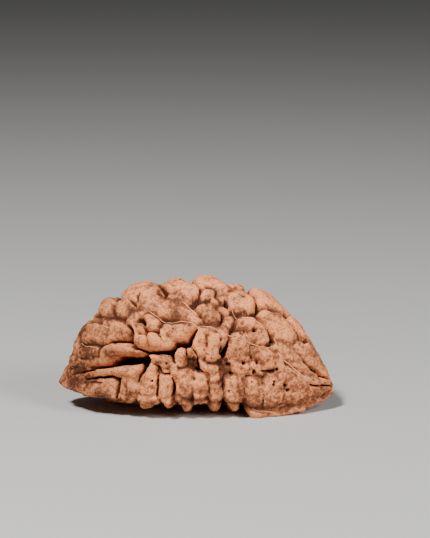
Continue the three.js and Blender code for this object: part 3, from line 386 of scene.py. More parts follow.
# Fissures of the front, as seen in the view, each [depth, its course as [across, up, half width] points].
FRONT_FISSURES = [
    # The main fissure, from the blunt end to the middle, and its branches.
    [1.4, [[-12.1, 3.25, 0.05], [-11.2, 3.55, 0.1], [-10.2, 3.8, 0.14], [-9.2, 3.95, 0.18],
           [-8.6, 4.15, 0.3]]],
    [2.1, [[-9.1, 4.05, 0.2], [-8.4, 4.4, 0.42], [-7.7, 4.6, 0.6], [-6.4, 4.62, 0.55], [-5.5, 4.6, 0.45]]],
    [2.1, [[-5.75, 5.05, 0.3], [-5.65, 4.4, 0.42], [-5.7, 3.8, 0.3], [-5.85, 3.1, 0.12], [-6.0, 2.4, 0.05]]],
    [2.1, [[-5.4, 5.35, 0.2], [-4.6, 5.5, 0.18], [-3.8, 5.45, 0.18], [-3.0, 5.45, 0.26], [-2.5, 5.7, 0.3]]],
    [2.1, [[-2.65, 5.6, 0.26], [-2.55, 4.9, 0.18], [-2.35, 4.3, 0.1]]],
    [2.0, [[-2.5, 5.8, 0.25], [-2.0, 6.2, 0.3], [-1.2, 6.25, 0.32], [-0.7, 6.35, 0.28]]],
    [2.0, [[-0.75, 6.2, 0.24], [-0.5, 6.8, 0.22], [-0.2, 7.3, 0.14], [0.0, 7.7, 0.06]]],
    [1.3, [[-6.4, 6.05, 0.05], [-5.9, 5.75, 0.1], [-5.3, 5.5, 0.16]]],
    # Round the bean, and between the limb and its foot.
    [1.8, [[-7.0, 8.1, 0.07], [-6.7, 7.75, 0.15], [-6.5, 7.2, 0.18], [-6.6, 6.8, 0.15], [-6.9, 6.5, 0.1]]],
    [1.5, [[-9.8, 6.0, 0.05], [-9.2, 6.2, 0.1], [-8.5, 6.5, 0.12], [-7.4, 6.48, 0.12], [-6.8, 6.5, 0.12]]],
    [1.5, [[-11.0, 2.7, 0.05], [-10.0, 2.88, 0.1], [-9.0, 2.9, 0.11], [-8.3, 2.8, 0.14], [-8.0, 2.3, 0.15]]],
    [1.5, [[-8.0, 2.5, 0.15], [-8.05, 1.7, 0.11], [-8.15, 0.9, 0.08]]],
    # Between the knuckles.
    [0.35, [[-5.2, 7.65, 0.1], [-5.0, 7.4, 0.14], [-4.6, 7.3, 0.1], [-3.9, 7.3, 0.07]]],
    [0.9, [[-5.7, 8.65, 0.1], [-5.5, 8.4, 0.2], [-5.2, 8.2, 0.14]]],
    # Beside and over the columns.
    [0.9, [[-4.15, 3.75, 0.08], [-3.85, 3.35, 0.14], [-3.4, 3.12, 0.14], [-2.9, 3.2, 0.08]]],
    [0.6, [[-4.15, 2.9, 0.05], [-4.1, 2.0, 0.1], [-4.0, 1.0, 0.12]]],
    [1.0, [[-2.6, 2.8, 0.05], [-2.45, 2.2, 0.09], [-2.4, 1.5, 0.12], [-2.45, 0.9, 0.06]]],
    [0.9, [[0.1, 4.8, 0.08], [0.15, 4.3, 0.12], [0.2, 3.8, 0.12]]],
    [1.4, [[-0.1, 3.6, 0.1], [0.25, 3.4, 0.22], [0.5, 3.35, 0.1]]],
    [0.6, [[-1.1, 5.85, 0.06], [-1.12, 5.2, 0.1]]],
    # Beside and between the twin ridges.
    [0.6, [[-0.42, 6.0, 0.05], [-0.2, 5.5, 0.1], [0.05, 5.0, 0.1]]],
    [1.7, [[3.2, 6.75, 0.05], [3.0, 6.3, 0.12], [2.8, 5.7, 0.22], [2.6, 5.2, 0.22]]],
    [0.6, [[2.35, 5.9, 0.12], [2.25, 5.3, 0.18]]],
    [0.4, [[1.0, 6.6, 0.05], [0.98, 6.3, 0.09], [0.95, 5.9, 0.07]]],
    # The upper middle and right.
    [0.7, [[-6.7, 10.5, 0.06], [-6.25, 10.05, 0.12], [-5.95, 9.7, 0.06]]],
    [0.4, [[-5.55, 11.0, 0.06], [-5.75, 10.6, 0.1], [-5.8, 10.2, 0.06]]],
    [0.9, [[-4.0, 12.15, 0.1], [-3.6, 11.8, 0.16], [-3.1, 11.2, 0.16]]],
    [0.5, [[-0.4, 12.3, 0.06], [0.15, 11.7, 0.09], [0.2, 11.1, 0.09], [0.0, 10.5, 0.1]]],
    [0.5, [[-0.4, 10.3, 0.1], [0.3, 10.55, 0.14], [1.1, 10.6, 0.1]]],
    [0.4, [[0.2, 11.8, 0.05], [1.0, 11.8, 0.07], [1.8, 11.7, 0.08], [1.95, 11.2, 0.1], [1.85, 10.9, 0.06]]],
    [0.5, [[2.2, 9.6, 0.05], [2.5, 9.2, 0.12], [2.5, 8.7, 0.1], [2.25, 8.1, 0.06]]],
    [1.6, [[2.8, 10.65, 0.12], [3.0, 10.3, 0.16], [3.15, 9.95, 0.08]]],
    [1.1, [[5.3, 11.0, 0.1], [5.65, 10.6, 0.26], [6.0, 10.15, 0.14]]],
    [1.3, [[6.0, 9.95, 0.08], [6.25, 9.7, 0.16], [6.6, 9.5, 0.05]]],
    [0.9, [[8.5, 9.15, 0.1], [8.9, 9.15, 0.12]]],
    [1.2, [[7.15, 7.6, 0.06], [7.35, 7.2, 0.15], [7.6, 6.8, 0.13], [7.85, 6.4, 0.05]]],
    [0.9, [[9.0, 8.9, 0.06], [9.4, 8.2, 0.12], [10.0, 7.5, 0.12], [10.4, 6.8, 0.14], [10.7, 6.3, 0.1]]],
    # Between the ridges of the beak.
    [1.2, [[10.8, 6.3, 0.12], [11.3, 5.4, 0.24], [12.0, 4.5, 0.2], [12.9, 3.4, 0.1]]],
    [1.1, [[10.5, 4.5, 0.08], [11.4, 3.7, 0.17], [12.4, 2.95, 0.14], [13.1, 2.6, 0.08]]],
    [1.2, [[11.4, 2.15, 0.06], [12.2, 1.98, 0.1], [13.0, 1.93, 0.12], [13.6, 1.88, 0.12]]],
]

# Fine folds in the skin of the lobes, given in the same way.
WRINKLES = [
    [0.14, [[-7.1, 10.8, 0.05], [-6.8, 11.6, 0.09], [-6.1, 12.2, 0.09], [-5.3, 12.3, 0.05]]],
    [0.14, [[-6.6, 10.5, 0.05], [-6.4, 11.3, 0.09], [-5.7, 11.9, 0.09], [-4.9, 11.9, 0.05]]],
    [0.12, [[-6.1, 10.6, 0.05], [-6, 11.3, 0.09], [-5.4, 11.6, 0.09], [-4.5, 11.6, 0.05]]],
    [0.12, [[-5.5, 10.9, 0.05], [-5.1, 11.25, 0.09], [-4.3, 11.2, 0.09], [-3.9, 11, 0.05]]],
    [0.14, [[-11.3, 6.5, 0.05], [-11.7, 7.2, 0.09], [-11.3, 8, 0.09], [-10.6, 8.25, 0.09],
            [-9.5, 8.1, 0.09], [-8.9, 7.9, 0.05]]],
    [0.12, [[-8.7, 8.2, 0.05], [-8.2, 8.5, 0.08], [-7.5, 8.35, 0.08], [-7.1, 8, 0.05]]],
    [0.12, [[-2.1, 12, 0.05], [-1.7, 12.6, 0.08], [-1.4, 12.85, 0.05]]],
    [0.12, [[-5.1, 7, 0.05], [-4.6, 7.4, 0.08], [-3.9, 7.4, 0.08], [-3.6, 6.9, 0.05]]],
    [0.1, [[-2.9, 7.9, 0.04], [-2.5, 8, 0.07], [-2.1, 7.8, 0.07], [-2.1, 7.4, 0.07],
           [-2.6, 7.3, 0.07], [-2.9, 7.5, 0.04]]],
    [0.1, [[3.4, 6.3, 0.04], [3.6, 5.2, 0.07], [4.1, 4.6, 0.04]]],
    [0.1, [[4.4, 6.3, 0.04], [4.5, 5.3, 0.07], [4.8, 4.7, 0.04]]],
    [0.14, [[5.3, 6.1, 0.05], [5.2, 5.2, 0.08], [5.4, 4.6, 0.05]]],
    [0.12, [[8.1, 6.2, 0.05], [8.6, 6.4, 0.08], [9.3, 6.2, 0.08], [9.9, 6.3, 0.05]]],
    [0.14, [[10, 5.2, 0.05], [10.6, 4.6, 0.08], [11.2, 4, 0.05]]],
    [0.1, [[-8.3, 10.4, 0.04], [-8.1, 9.8, 0.07], [-8.2, 9.2, 0.04]]],
    [0.1, [[-8.6, 1.2, 0.04], [-8.5, 1.9, 0.07], [-8.8, 2.4, 0.04]]],
    [0.1, [[-0.6, 0.9, 0.04], [-0.7, 1.8, 0.07], [-0.4, 2.5, 0.04]]],
    [0.1, [[8.5, 0.6, 0.04], [8.7, 1.4, 0.07], [8.6, 2.2, 0.07], [8.8, 2.9, 0.04]]],
    [0.22, [[1.1, 3.2, 0.05], [1.12, 2.0, 0.06], [1.1, 0.6, 0.05]]],
    [0.25, [[2.7, 2.9, 0.05], [2.6, 1.8, 0.07], [2.4, 0.5, 0.09]]],
    [0.3, [[4.55, 2.9, 0.05], [4.72, 1.4, 0.07], [4.8, 0.1, 0.06]]],
    [0.3, [[6.62, 3.0, 0.05], [6.6, 1.5, 0.06], [6.62, 0.0, 0.06]]],
    [0.2, [[5.6, 11.75, 0.05], [5.9, 11.2, 0.06]]],
    [0.25, [[-8.15, 10.9, 0.06], [-8.2, 10.0, 0.08], [-8.35, 9.1, 0.06]]],
    [0.25, [[-9.0, 8.35, 0.06], [-8.7, 7.8, 0.07]]],
    [0.3, [[-5.55, 11.0, 0.06], [-5.7, 10.6, 0.09], [-5.85, 10.2, 0.06]]],
    [0.2, [[-3.4, 10.8, 0.06], [-2.8, 10.65, 0.08], [-2.2, 10.4, 0.06]]],
    [0.25, [[-0.6, 2.5, 0.05], [-0.55, 1.6, 0.07], [-0.6, 0.8, 0.05]]],
    [0.25, [[-7.0, 2.9, 0.05], [-6.95, 2.3, 0.07], [-7.1, 1.5, 0.05]]],
    [0.25, [[5.3, 5.2, 0.08], [5.45, 4.7, 0.06]]],
    [0.3, [[6.2, 3.6, 0.07], [7.0, 3.55, 0.1], [7.4, 3.65, 0.1]]],
    [0.2, [[10.4, 3.2, 0.04], [11.4, 2.6, 0.05]]],
    [0.3, [[8.2, 0.2, 0.06], [8.6, 1.0, 0.05]]],
    [0.3, [[9.9, 0.2, 0.06], [10.3, 0.7, 0.05]]],
    [0.25, [[-11.3, 2.4, 0.05], [-10.2, 2.45, 0.07], [-9.4, 2.35, 0.05]]],
    [0.25, [[-1.0, 6.9, 0.06], [-1.3, 7.5, 0.05]]],
    [0.35, [[-3.6, 8.1, 0.08], [-3.75, 7.6, 0.1], [-3.75, 7.0, 0.08]]],
    [0.3, [[-5.0, 7.1, 0.1], [-4.95, 6.6, 0.1], [-5.0, 6.1, 0.06]]],
    [0.3, [[-6.05, 7.9, 0.07], [-6.1, 7.3, 0.08], [-5.7, 7.1, 0.1], [-5.3, 7.1, 0.1]]],
    [0.3, [[-3.6, 7.0, 0.07], [-3.45, 6.4, 0.07]]],
]

# Small holes, as seen in the view, each [across, up, half width, depth].
PORES = [
    [4.65, 4.3, 0.2, 0.6],
    [4.45, 3.75, 0.3, 0.2],
    [5.95, 4.3, 0.16, 0.7],
    [5.65, 3.4, 0.19, 0.8],
    [7.3, 3.5, 0.18, 0.8],
    [7.65, 3.6, 0.2, 0.9],
    [8.1, 3.65, 0.16, 0.8],
    [5.45, 2.45, 0.11, 0.6],
    [7.6, 2.15, 0.17, 0.9],
    [7.72, 2.45, 0.15, 0.8],
    [8.8, 2.0, 0.15, 0.7],
    [8.95, 1.6, 0.18, 0.8],
    [3.12, 4.1, 0.2, 0.6],
    [3.4, 3.2, 0.2, 0.6],
    [2.2, 3.6, 0.10, 0.5],
    [-3.2, 4.3, 0.11, 0.6],
    [-4.55, 2.5, 0.14, 0.8],
    [1.35, 4.8, 0.09, 0.5],
    [2.3, 6.55, 0.11, 0.6],
    [2.2, 2.2, 0.12, 0.5],
    [0.62, 5.6, 0.16, 0.45],
    [0.2, 6.3, 0.08, 0.3],
    [-0.3, 2.6, 0.15, 0.3],
    [3.15, 1.5, 0.12, 0.4],
    [-5.55, 8.45, 0.27, 0.9],
    [-5.2, 8.15, 0.20, 0.8],
    [-2.4, 7.65, 0.15, 0.5],
    [-3.2, 7.7, 0.10, 0.4],
    [-3.8, 11.1, 0.22, 0.9],
    [-4.7, 12.2, 0.15, 0.7],
    [-4.4, 12.15, 0.13, 0.6],
    [-6.4, 12.15, 0.15, 0.7],
    [0.3, 9.0, 0.14, 0.5],
    [0.35, 8.2, 0.12, 0.5],
    [0.85, 10.75, 0.12, 0.5],
    [1.75, 10.4, 0.08, 0.3],
    [0.85, 12.2, 0.08, 0.3],
    [4.5, 10.85, 0.24, 0.5],
    [4.25, 11.05, 0.1, 0.3],
    [4.75, 11.1, 0.09, 0.3],
    [4.1, 9.45, 0.12, 0.5],
    [4.35, 9.38, 0.13, 0.5],
    [4.62, 9.35, 0.12, 0.5],
    [5.0, 9.2, 0.09, 0.4],
    [5.35, 9.15, 0.14, 0.6],
    [5.55, 9.2, 0.13, 0.6],
    [5.75, 7.6, 0.17, 0.9],
    [4.35, 7.4, 0.12, 0.6],
    [4.8, 7.5, 0.11, 0.4],
    [5.1, 7.5, 0.11, 0.4],
    [9.8, 3.85, 0.09, 0.4],
    [2.5, 9.25, 0.11, 0.5],
    [7.9, 5.55, 0.11, 0.4],
]

# Brown stains, as seen in the view, each [across, up, half width]. Some of them are also painted shade: on
# lobe sides turned from the light and in shadowed hollows.
STAINS_AND_SHADE = [
    # Painted shade with some brown: the bean's right end, turned from the light.
    [-7.2, 7.1, 0.7],
    [-11.0, 5.3, 0.9],
    [-11.6, 3.7, 0.9],
    [-12.3, 2.5, 0.9],
    [-10.8, 2.7, 0.7],
    # Painted shade with some brown, the next two: the hollow between the beak's ridges, which the shape
    # leaves too shallow to shadow.
    [11.3, 5.6, 0.4],
    [11.9, 4.8, 0.4],
    [-8.6, 5.2, 0.6],
    [-6.2, 5.2, 0.6],
    [-5.9, 2.9, 0.6],
    [-6.9, 1.2, 0.6],
    [-6.6, 9.4, 0.6],
    [-11.5, 7.5, 0.5],
    # Painted shade with some brown: the shadowed hollow on the dome's right side.
    [-3.7, 11.5, 0.9],
    [-4.6, 11.9, 0.5],
    [-2.2, 9.0, 1.0],
    [-4.9, 9.6, 0.6],
    [-0.3, 10.5, 0.7],
    [-2.0, 10.7, 0.5],
    [-0.7, 7.7, 0.6],
    [-2.4, 7.7, 0.5],
    [-5.5, 8.3, 0.6],
    [-3.6, 8.1, 0.5],
    [1.5, 9.2, 1.4],
    [3.8, 7.8, 0.7],
    [2.0, 11.2, 0.7],
    [-3.3, 4.2, 1.0],
    [-0.8, 4.2, 0.9],
    [2.8, 4.1, 0.9],
    [2.5, 6.0, 0.7],
    [4.0, 5.2, 1.2],
    [5.5, 5.7, 0.8],
    [1.9, 1.8, 0.7],
    [0.5, 1.6, 0.5],
    [-1.2, 1.2, 0.6],
    [4.5, 1.4, 0.7],
    [4.4, 9.3, 0.6],
    [4.9, 11.6, 0.5],
    [4.4, 10.9, 0.5],
    [9.9, 6.9, 0.6],
    [11.8, 5.3, 0.9],
    [12.5, 4.2, 0.6],
    [12.4, 1.3, 0.9],
    [11.5, 3.4, 0.9],
    [10.4, 4.6, 0.6],
    [7.0, 3.5, 0.6],
    [8.8, 1.7, 0.5],
    [-9.5, 1.2, 0.9],
]

# Pale vein threads that lie on the skin, as seen in the view, each [half width, its course].
THREADS = [
    [0.08, [[8.0, 5.5], [8.4, 5.0], [8.8, 4.55], [9.5, 3.95], [10.3, 3.3], [11.1, 2.65], [11.6, 2.3]]],
    [0.05, [[8.9, 3.9], [9.6, 3.5], [10.4, 2.9], [11.2, 2.35]]],
    [0.06, [[7.75, 6.9], [7.95, 6.4], [7.95, 5.9], [8.0, 5.5]]],
    [0.05, [[7.95, 6.1], [7.2, 5.9], [6.4, 6.0], [5.6, 6.25], [4.8, 6.5], [4.1, 6.65], [3.3, 6.85]]],
    [0.06, [[3.2, 10.0], [3.5, 9.6], [4.0, 9.1], [4.6, 8.92], [5.3, 8.8], [5.8, 8.55], [6.5, 8.0]]],
    [0.11, [[-1.6, 10.4], [-1.1, 10.0], [-0.6, 9.65], [-0.2, 9.25], [0.2, 9.0]]],
    [0.06, [[-0.6, 9.7], [-0.35, 9.75], [0.0, 9.8]]],
    [0.07, [[-1.0, 8.3], [-0.6, 8.3], [-0.3, 8.1], [0.1, 7.85], [0.5, 7.95], [0.9, 7.95], [1.5, 7.8]]],
    [0.045, [[1.5, 7.8], [2.1, 7.5], [2.9, 7.2], [3.6, 7.0]]],
    [0.06, [[-4.8, 9.35], [-4.1, 9.0], [-3.6, 8.6], [-2.8, 8.45], [-1.7, 8.4], [-1.0, 8.3]]],
    [0.04, [[6.78, 2.6], [6.76, 1.4], [6.75, 0.3]]],
    [0.04, [[3.1, 4.7], [3.55, 4.1], [3.95, 3.5], [4.3, 2.9]]],
    [0.07, [[5.4, -0.3], [6.4, -0.38], [7.5, -0.4], [8.6, -0.42], [9.6, -0.35]]],
    [0.06, [[9.8, -0.3], [10.8, 0.0], [11.8, 0.35], [12.6, 0.85], [13.2, 1.3]]],
    [0.045, [[-9.8, 5.95], [-10.6, 5.98], [-11.4, 6.15], [-11.9, 6.5]]],
]

# The lobes of the underside: [height, its ridge as [x, angle round the stone, half width] points]. The
# angle is in degrees, 0 at the front, 90 on the crest and -90 underneath.
UNDERSIDE_LOBES = [
    # The two lips of the groove, which the stone stands on.
    [0.4, [[-8.6, -101, 0.5], [-3.0, -103, 0.85], [3.0, -103, 0.85], [8.6, -101, 0.5]]],
    [0.45, [[-8.6, -124, 0.5], [-3.0, -124, 0.85], [3.0, -124, 0.85], [8.6, -124, 0.5]]],
    # Low swellings between the front edge and the lip.
    [0.1, [[-8.2, -58, 0.9], [-7.0, -66, 0.9]]],
    [0.15, [[-5.2, -60, 0.9], [-4.2, -72, 0.9]]],
    [0.1, [[-2.2, -62, 0.9], [-1.6, -74, 0.9]]],
    [0.1, [[0.8, -60, 0.9], [1.6, -76, 0.9]]],
    [0.1, [[3.6, -64, 0.8], [4.4, -78, 0.9]]],
    [0.15, [[6.6, -66, 0.9], [7.8, -80, 0.9]]],
    [0.05, [[-10.8, -60, 0.8], [-9.6, -80, 0.9]]],
    [0.05, [[10.4, -70, 0.8], [10.0, -90, 0.8]]],
]

# The single groove that gives the stone its name, between its two lips, and the fissures of the back,
# each [depth, its course as [x, angle, half width] points].
OTHER_FISSURES = [
    [1, [[-11.2, -113, 0.2], [-6, -114, 0.28], [0, -113, 0.28], [6, -114, 0.28], [11.8, -112, 0.2]]],
    [1.9, [[-9, 150, 0.16], [-6.5, 158, 0.26], [-4, 157, 0.26], [-2.2, 163, 0.26], [0.5, 164, 0.16]]],
    [1.7, [[-2.2, 163, 0.14], [-2.4, 176, 0.24], [-2, 184, 0.14]]],
    [1.6, [[3, 152, 0.14], [5.2, 147, 0.24], [6.6, 150, 0.24], [8.3, 161, 0.14]]],
    [1.6, [[-5.4, 128, 0.14], [-3.8, 134, 0.24], [-1.6, 133, 0.14]]],
    [1.5, [[1.2, 118, 0.14], [2, 128, 0.24], [3.6, 131, 0.14]]],
    [1.4, [[7.2, 118, 0.14], [8.6, 126, 0.24], [10, 137, 0.14]]],
    [1.5, [[-8.8, 112, 0.14], [-8.2, 122, 0.24], [-9.2, 133, 0.14]]],
    [1.4, [[-5.6, 186, 0.14], [-5.5, 204, 0.14]]],
    [1.4, [[3.9, 186, 0.14], [4, 206, 0.14]]],
    [1.3, [[11, 184, 0.14], [12.2, 186, 0.24], [13.4, 188, 0.14]]],
]

# The rows of lobes of the back: angle, spacing along the row, half length, half width, and turn of the
# long side.
BACK_ROWS = [
    [115, 2.6, 1.6, 1.1, -15],
    [131, 2.5, 1.8, 1.15, 25],
    [149, 2.6, 1.9, 1.05, -25],
    [167, 2.3, 1.6, 1.0, 20],
    [189, 1.85, 1.7, 0.9, 88],
    [212, 2.1, 1.1, 0.55, 0],
]
BACK_SEED = 11
BACK_ROW_REACH = 12.6
DEGREES_PER_MM = 9.5

# The size of the back's lobes at the tips and what is added to it in the middle, as shares of the row's,
# and their rise.
BACK_TIP_SIZE = 0.6
BACK_MIDDLE_GAIN = 0.45
BACK_RISE = 0.15

# How much each of them may differ at random: its place along the row, its angle in degrees, its width and
# length as shares, its turn in degrees and its rise.
BACK_MOVE = 0.4
BACK_SWING = 4
BACK_WIDENING = 0.15
BACK_LENGTHENING = 0.25
BACK_TURN = 35
BACK_RAISE = 0.2

# The factors that make a stream of numbers, and a lattice of values, look random.
STREAM_FACTOR = 1664525
STREAM_STEP = 1013904223
STREAM_SIZE = 2**32
LATTICE_STEPS = (127.1, 311.7, 74.7)
LATTICE_SCALE = 43758.5453


class NumberStream:
    """Numbers between 0 and 1 that are the same each time: a linear congruence from one seed."""

    def __init__(self, seed):
        self.state = seed

    def next(self):
        self.state = (self.state * STREAM_FACTOR + STREAM_STEP) % STREAM_SIZE
        return self.state / STREAM_SIZE

    def spread(self, amount):
        return (self.next() - 0.5) * 2 * amount


def back_lobes():
    """The lobes of the back, row by row, smaller towards the tips, each a short ridge."""
    stream = NumberStream(BACK_SEED)
    lobes = []
    for row_angle, spacing, long, short, row_turn in BACK_ROWS:
        row_x = -BACK_ROW_REACH + stream.next() * spacing
        while row_x < BACK_ROW_REACH:
            size = BACK_TIP_SIZE + BACK_MIDDLE_GAIN * math.sqrt(1 - (row_x / HALF_LENGTH) ** 2)
            x = row_x + stream.spread(BACK_MOVE)
            angle = row_angle + stream.spread(BACK_SWING)
            width = short * size * (1 + stream.spread(BACK_WIDENING))
            half = max(long * size * (1 + stream.spread(BACK_LENGTHENING)) - width, 0)
            turn = math.radians(row_turn + stream.spread(BACK_TURN))
            rise = BACK_RISE + stream.spread(BACK_RAISE)
            across = half * math.cos(turn)
            round_ = half * math.sin(turn) * DEGREES_PER_MM
            lobes.append([rise, [[x - across, angle + round_, width], [x + across, angle - round_, width]]])
            row_x += spacing
    return lobes


def corner_value(i, j, k):
    """A fixed random value between 0 and 1 for each corner of a lattice."""
    s = np.sin(i * LATTICE_STEPS[0] + j * LATTICE_STEPS[1] + k * LATTICE_STEPS[2]) * LATTICE_SCALE
    return s - np.floor(s)


def smooth_noise(points, size, shift):
    """Noise between -1 and 1: the corner values of a lattice, blended in between by smooth steps."""
    q = points / size + shift
    cell = np.floor(q)
    t = q - cell
    t = t * t * (3 - 2 * t)
    total = 0.0
    for corner in np.ndindex(2, 2, 2):
        weight = np.prod(np.where(np.array(corner) == 1, t, 1 - t), axis=-1)
        total = total + weight * corner_value(*np.moveaxis(cell + corner, -1, 0))
    return 2 * total - 1


def wandering(points, amount, size, shifts):
    """Steps in every direction by three noises side by side, at most about the given amount long."""
    return amount * np.stack([smooth_noise(points, size, shift) for shift in shifts], axis=-1)


def smooth_step(value, low, high):
    """0 below low, 1 above high, and a smooth S between."""
    t = np.clip((value - low) / (high - low), 0, 1)
    return t * t * (3 - 2 * t)


def half_moon(points):
    """Below 1 inside the half-moon, 1 on it. Its upper edge is an arch that falls faster to the beak and
    stands back a little over the blunt tip. Its lower edge rises to both tips, sooner to the blunt one,
    and slopes up to the front edge. Its thickness runs out towards both tips."""
    x, y, z = np.moveaxis(points, -1, 0)
    setback = np.where(x > 0, 0, BLUNT_SETBACK * smooth_step(z - TIP_HEIGHT, *SETBACK_RISE))
    s = np.minimum(np.abs(x) / (HALF_LENGTH - setback), 1)
    arch = np.where(x > 0, 1 - s**BEAK_ARCH, np.sqrt(1 - s**BLUNT_ARCH)) * (CREST_HEIGHT - TIP_HEIGHT)
    slope = SLOPE * np.maximum(0, SLOPE_START - y) * (1 - smooth_step(x, *SLOPE_END))
    keel = np.where(x > 0, np.sqrt(1 - s**BEAK_KEEL), 1 - s**BLUNT_KEEL) * (TIP_HEIGHT + SEAM_DROP - slope)
    half = HALF_THICKNESS * (1 - s ** THICKNESS_TAPER[0]) ** THICKNESS_TAPER[1] + TINY
    above = z > TIP_HEIGHT
    height = np.maximum(np.where(above, arch, keel), 0) + TINY
    beyond = np.where(np.abs(x) > HALF_LENGTH - setback, PAST_TIP, 0)
    upwards = (np.abs(z - TIP_HEIGHT) / height) ** np.where(above, TOP_FULLNESS, FOOT_FULLNESS)
    return upwards + (np.abs(y) / half) ** SIDE_FULLNESS + beyond


def rays(along, round_):
    """Where rays leave the axis and which way they point, from the angle along the stone (0 at the beak,
    pi at the blunt tip) and the angle round it."""
    c, s = np.cos(along), np.sin(along)
    start = np.stack([AXIS_HALF * c, 0 * c, AXIS_HEIGHT + (TIP_HEIGHT - AXIS_HEIGHT) * c * c], axis=-1)
    way = np.stack([c, -s * np.cos(round_), s * np.sin(round_)], axis=-1)
    return start, way


def halved(holds, shape, low, high, halvings):
    """Bounds of the value up to which something holds, for each element, by halving the range between two
    bounds again and again."""
    low, high = np.full(shape, low), np.full(shape, high)
    for _ in range(halvings):
        middle = (low + high) / 2
        held = holds(middle)
        low, high = np.where(held, middle, low), np.where(held, high, middle)
    return low, high


def outline_points(start, way):
    """Points where rays meet the half-moon, and how far along the rays they are."""
    near, _far = halved(lambda reach: half_moon(start + way * reach[..., None]) < 1,
                        start.shape[:-1], 0.0, FAR, HALVINGS)
    return start + way * near[..., None], near


def place_at(x, angle):
    """Points of the half-moon at each x and angle round it in degrees."""
    round_ = np.radians(angle)
    low, high = halved(lambda along: outline_points(*rays(along, round_))[0][..., 0] > x,
                       x.shape, TINY, math.pi - TINY, HALVINGS)
    return outline_points(*rays((low + high) / 2, round_))[0]


def place_seen(across, up):
    """The points of the half-moon that are seen at places of the view, or, over the crest, the points of
    the lines of sight that pass nearest to it. It walks along each line in steps."""
    target = up[:, None] * VIEW_UP
    target[:, 0] = across
    way = target + VIEW_DISTANCE * SIGHT
    way /= np.linalg.norm(way, axis=-1, keepdims=True)
    steps = np.arange(-FAR, FAR, SIGHT_STEP)
    points = target[:, None] + way[:, None] * steps[:, None]
    values = half_moon(points)
    inside = values <= 1
    chosen = np.where(inside.any(axis=1), inside.argmax(axis=1), values.argmin(axis=1))
    return points[np.arange(len(points)), chosen]


def flattened(points):
    """Points with their depth along the line of sight counted for less."""
    return points + (SIGHT_SHARE - 1) * (points @ SIGHT)[..., None] * SIGHT


def make_course(places, seen):
    """A course through places, as seen in the view or given by x and angle."""
    first, second = np.array(places, float)[:, :2].T
    return flattened(place_seen(first, second)) if seen else place_at(first, second)


def nearness(points, course, widths):
    """Which points are near a course, and the least of (distance / half width) from each of them to it."""
    middle = (course.min(axis=0) + course.max(axis=0)) / 2
    extent = np.linalg.norm(course - middle, axis=1).max() + 2 * max(widths)
    close = np.flatnonzero(np.abs(points[:, 0] - middle[0]) < extent)
    close = close[((points[close] - middle) ** 2).sum(axis=1) < extent**2]
    here = points[close]
    least = np.full(len(close), np.inf)
    for i in range(max(len(course) - 1, 1)):
        after = min(i + 1, len(course) - 1)
        step = course[after] - course[i]
        share = np.clip((here - course[i]) @ step / max(step @ step, LEAST_SQUARE), 0, 1)
        width = widths[i] + (widths[after] - widths[i]) * share
        away = np.linalg.norm(here - course[i] - share[:, None] * step, axis=1)
        least = np.minimum(least, away / width)
    return close, least


def raise_lobe(height, points, rise, ridge, seen):
    """Raises the heights to a lobe where it is higher. It is round on top, as the root of 1 - nearness to
    a power, with straight flanks below."""
    widths = [place[2] * LOBE_SPREAD for place in ridge]
    close, t = nearness(points, make_course(ridge, seen), widths)
    edge = math.sqrt(1 - FLANK_START**ROUND_POWER)
    steepness = ROUND_POWER * FLANK_START ** (ROUND_POWER - 1) / (2 * edge)
    top = np.sqrt(1 - np.minimum(t, FLANK_START) ** ROUND_POWER)
    round_ = np.where(t < FLANK_START, top, edge - steepness * (t - FLANK_START))
    lobe = rise - min(FALL_SHARE * max(widths), FALL_MOST) * (1 - round_)
    height[close] = soft_larger(lobe, height[close], CREASE)


def cut_fissure(height, points, depth, places, seen, side):
    """Lowers the heights along a fissure: by its full depth in its middle, and not past its sides."""
    close, t = nearness(points, make_course(places, seen), [place[2] for place in places])
    height[close] -= depth * (1 - smooth_step(t, *side))


def soft_larger(p, q, width):
    """The larger of two heights, rounded where they are nearly equal."""
    h = np.clip(0.5 + 0.5 * (p - q) / width, 0, 1)
    return q + (p - q) * h + width * h * (1 - h)


def skin_height(points):
    """How far above or below the half-moon the skin lies: the highest lobe or the valley, less fissures,
    wrinkles and pores, plus the knobs' and the grain's noise."""
    near_tip = np.minimum(np.abs(points[:, 0]) / HALF_LENGTH, 1) ** TIP_VALLEY_POWER
    place = points + wandering(points, *WANDER) + wandering(points, *RIPPLE)
    place_in_view = flattened(place)
    height = -(VALLEY_DEPTH + (TIP_VALLEY_DEPTH - VALLEY_DEPTH) * near_tip)
    for rise, ridge in FRONT_LOBES + SEAM_LOBES:
        raise_lobe(height, place_in_view, rise, ridge, True)
    for rise, ridge in UNDERSIDE_LOBES + back_lobes():
        raise_lobe(height, place, rise, ridge, False)
    for depth, course in FRONT_FISSURES + WRINKLES:
        cut_fissure(height, place_in_view, depth, course, True, FISSURE_SIDE)
    for depth, course in OTHER_FISSURES:
        cut_fissure(height, place, depth, course, False, FISSURE_SIDE)
    near_in_view = flattened(points + wandering(points, *RIPPLE))
    for across, up, half_width, depth in PORES:
        cut_fissure(height, near_in_view, depth, [[across, up, half_width]], True, PORE_SIDE)
    knobbly = 1 - KNOBS_LOSS * smooth_step(points[:, 0], *KNOBS_END)
    for amount, size, shift in KNOBS:
        height += knobbly * amount * (np.abs(smooth_noise(place, size, shift)) - KNOB_MIDDLE)
    for amount, size, shift in GRAIN:
        height += amount * smooth_noise(points, size, shift)
    return height


def band_share(round_, x):
    """How much each ray lies in the rough band along the lower front edge, from 0 to 1."""
    degrees = (np.degrees(round_) + 180) % 360 - 180
    share = 1 - smooth_step(np.abs(degrees - BAND_MIDDLE), BAND_CORE * BAND_HALF, BAND_HALF)
    return share * (1 - BAND_LOSS * smooth_step(x, *BAND_END))


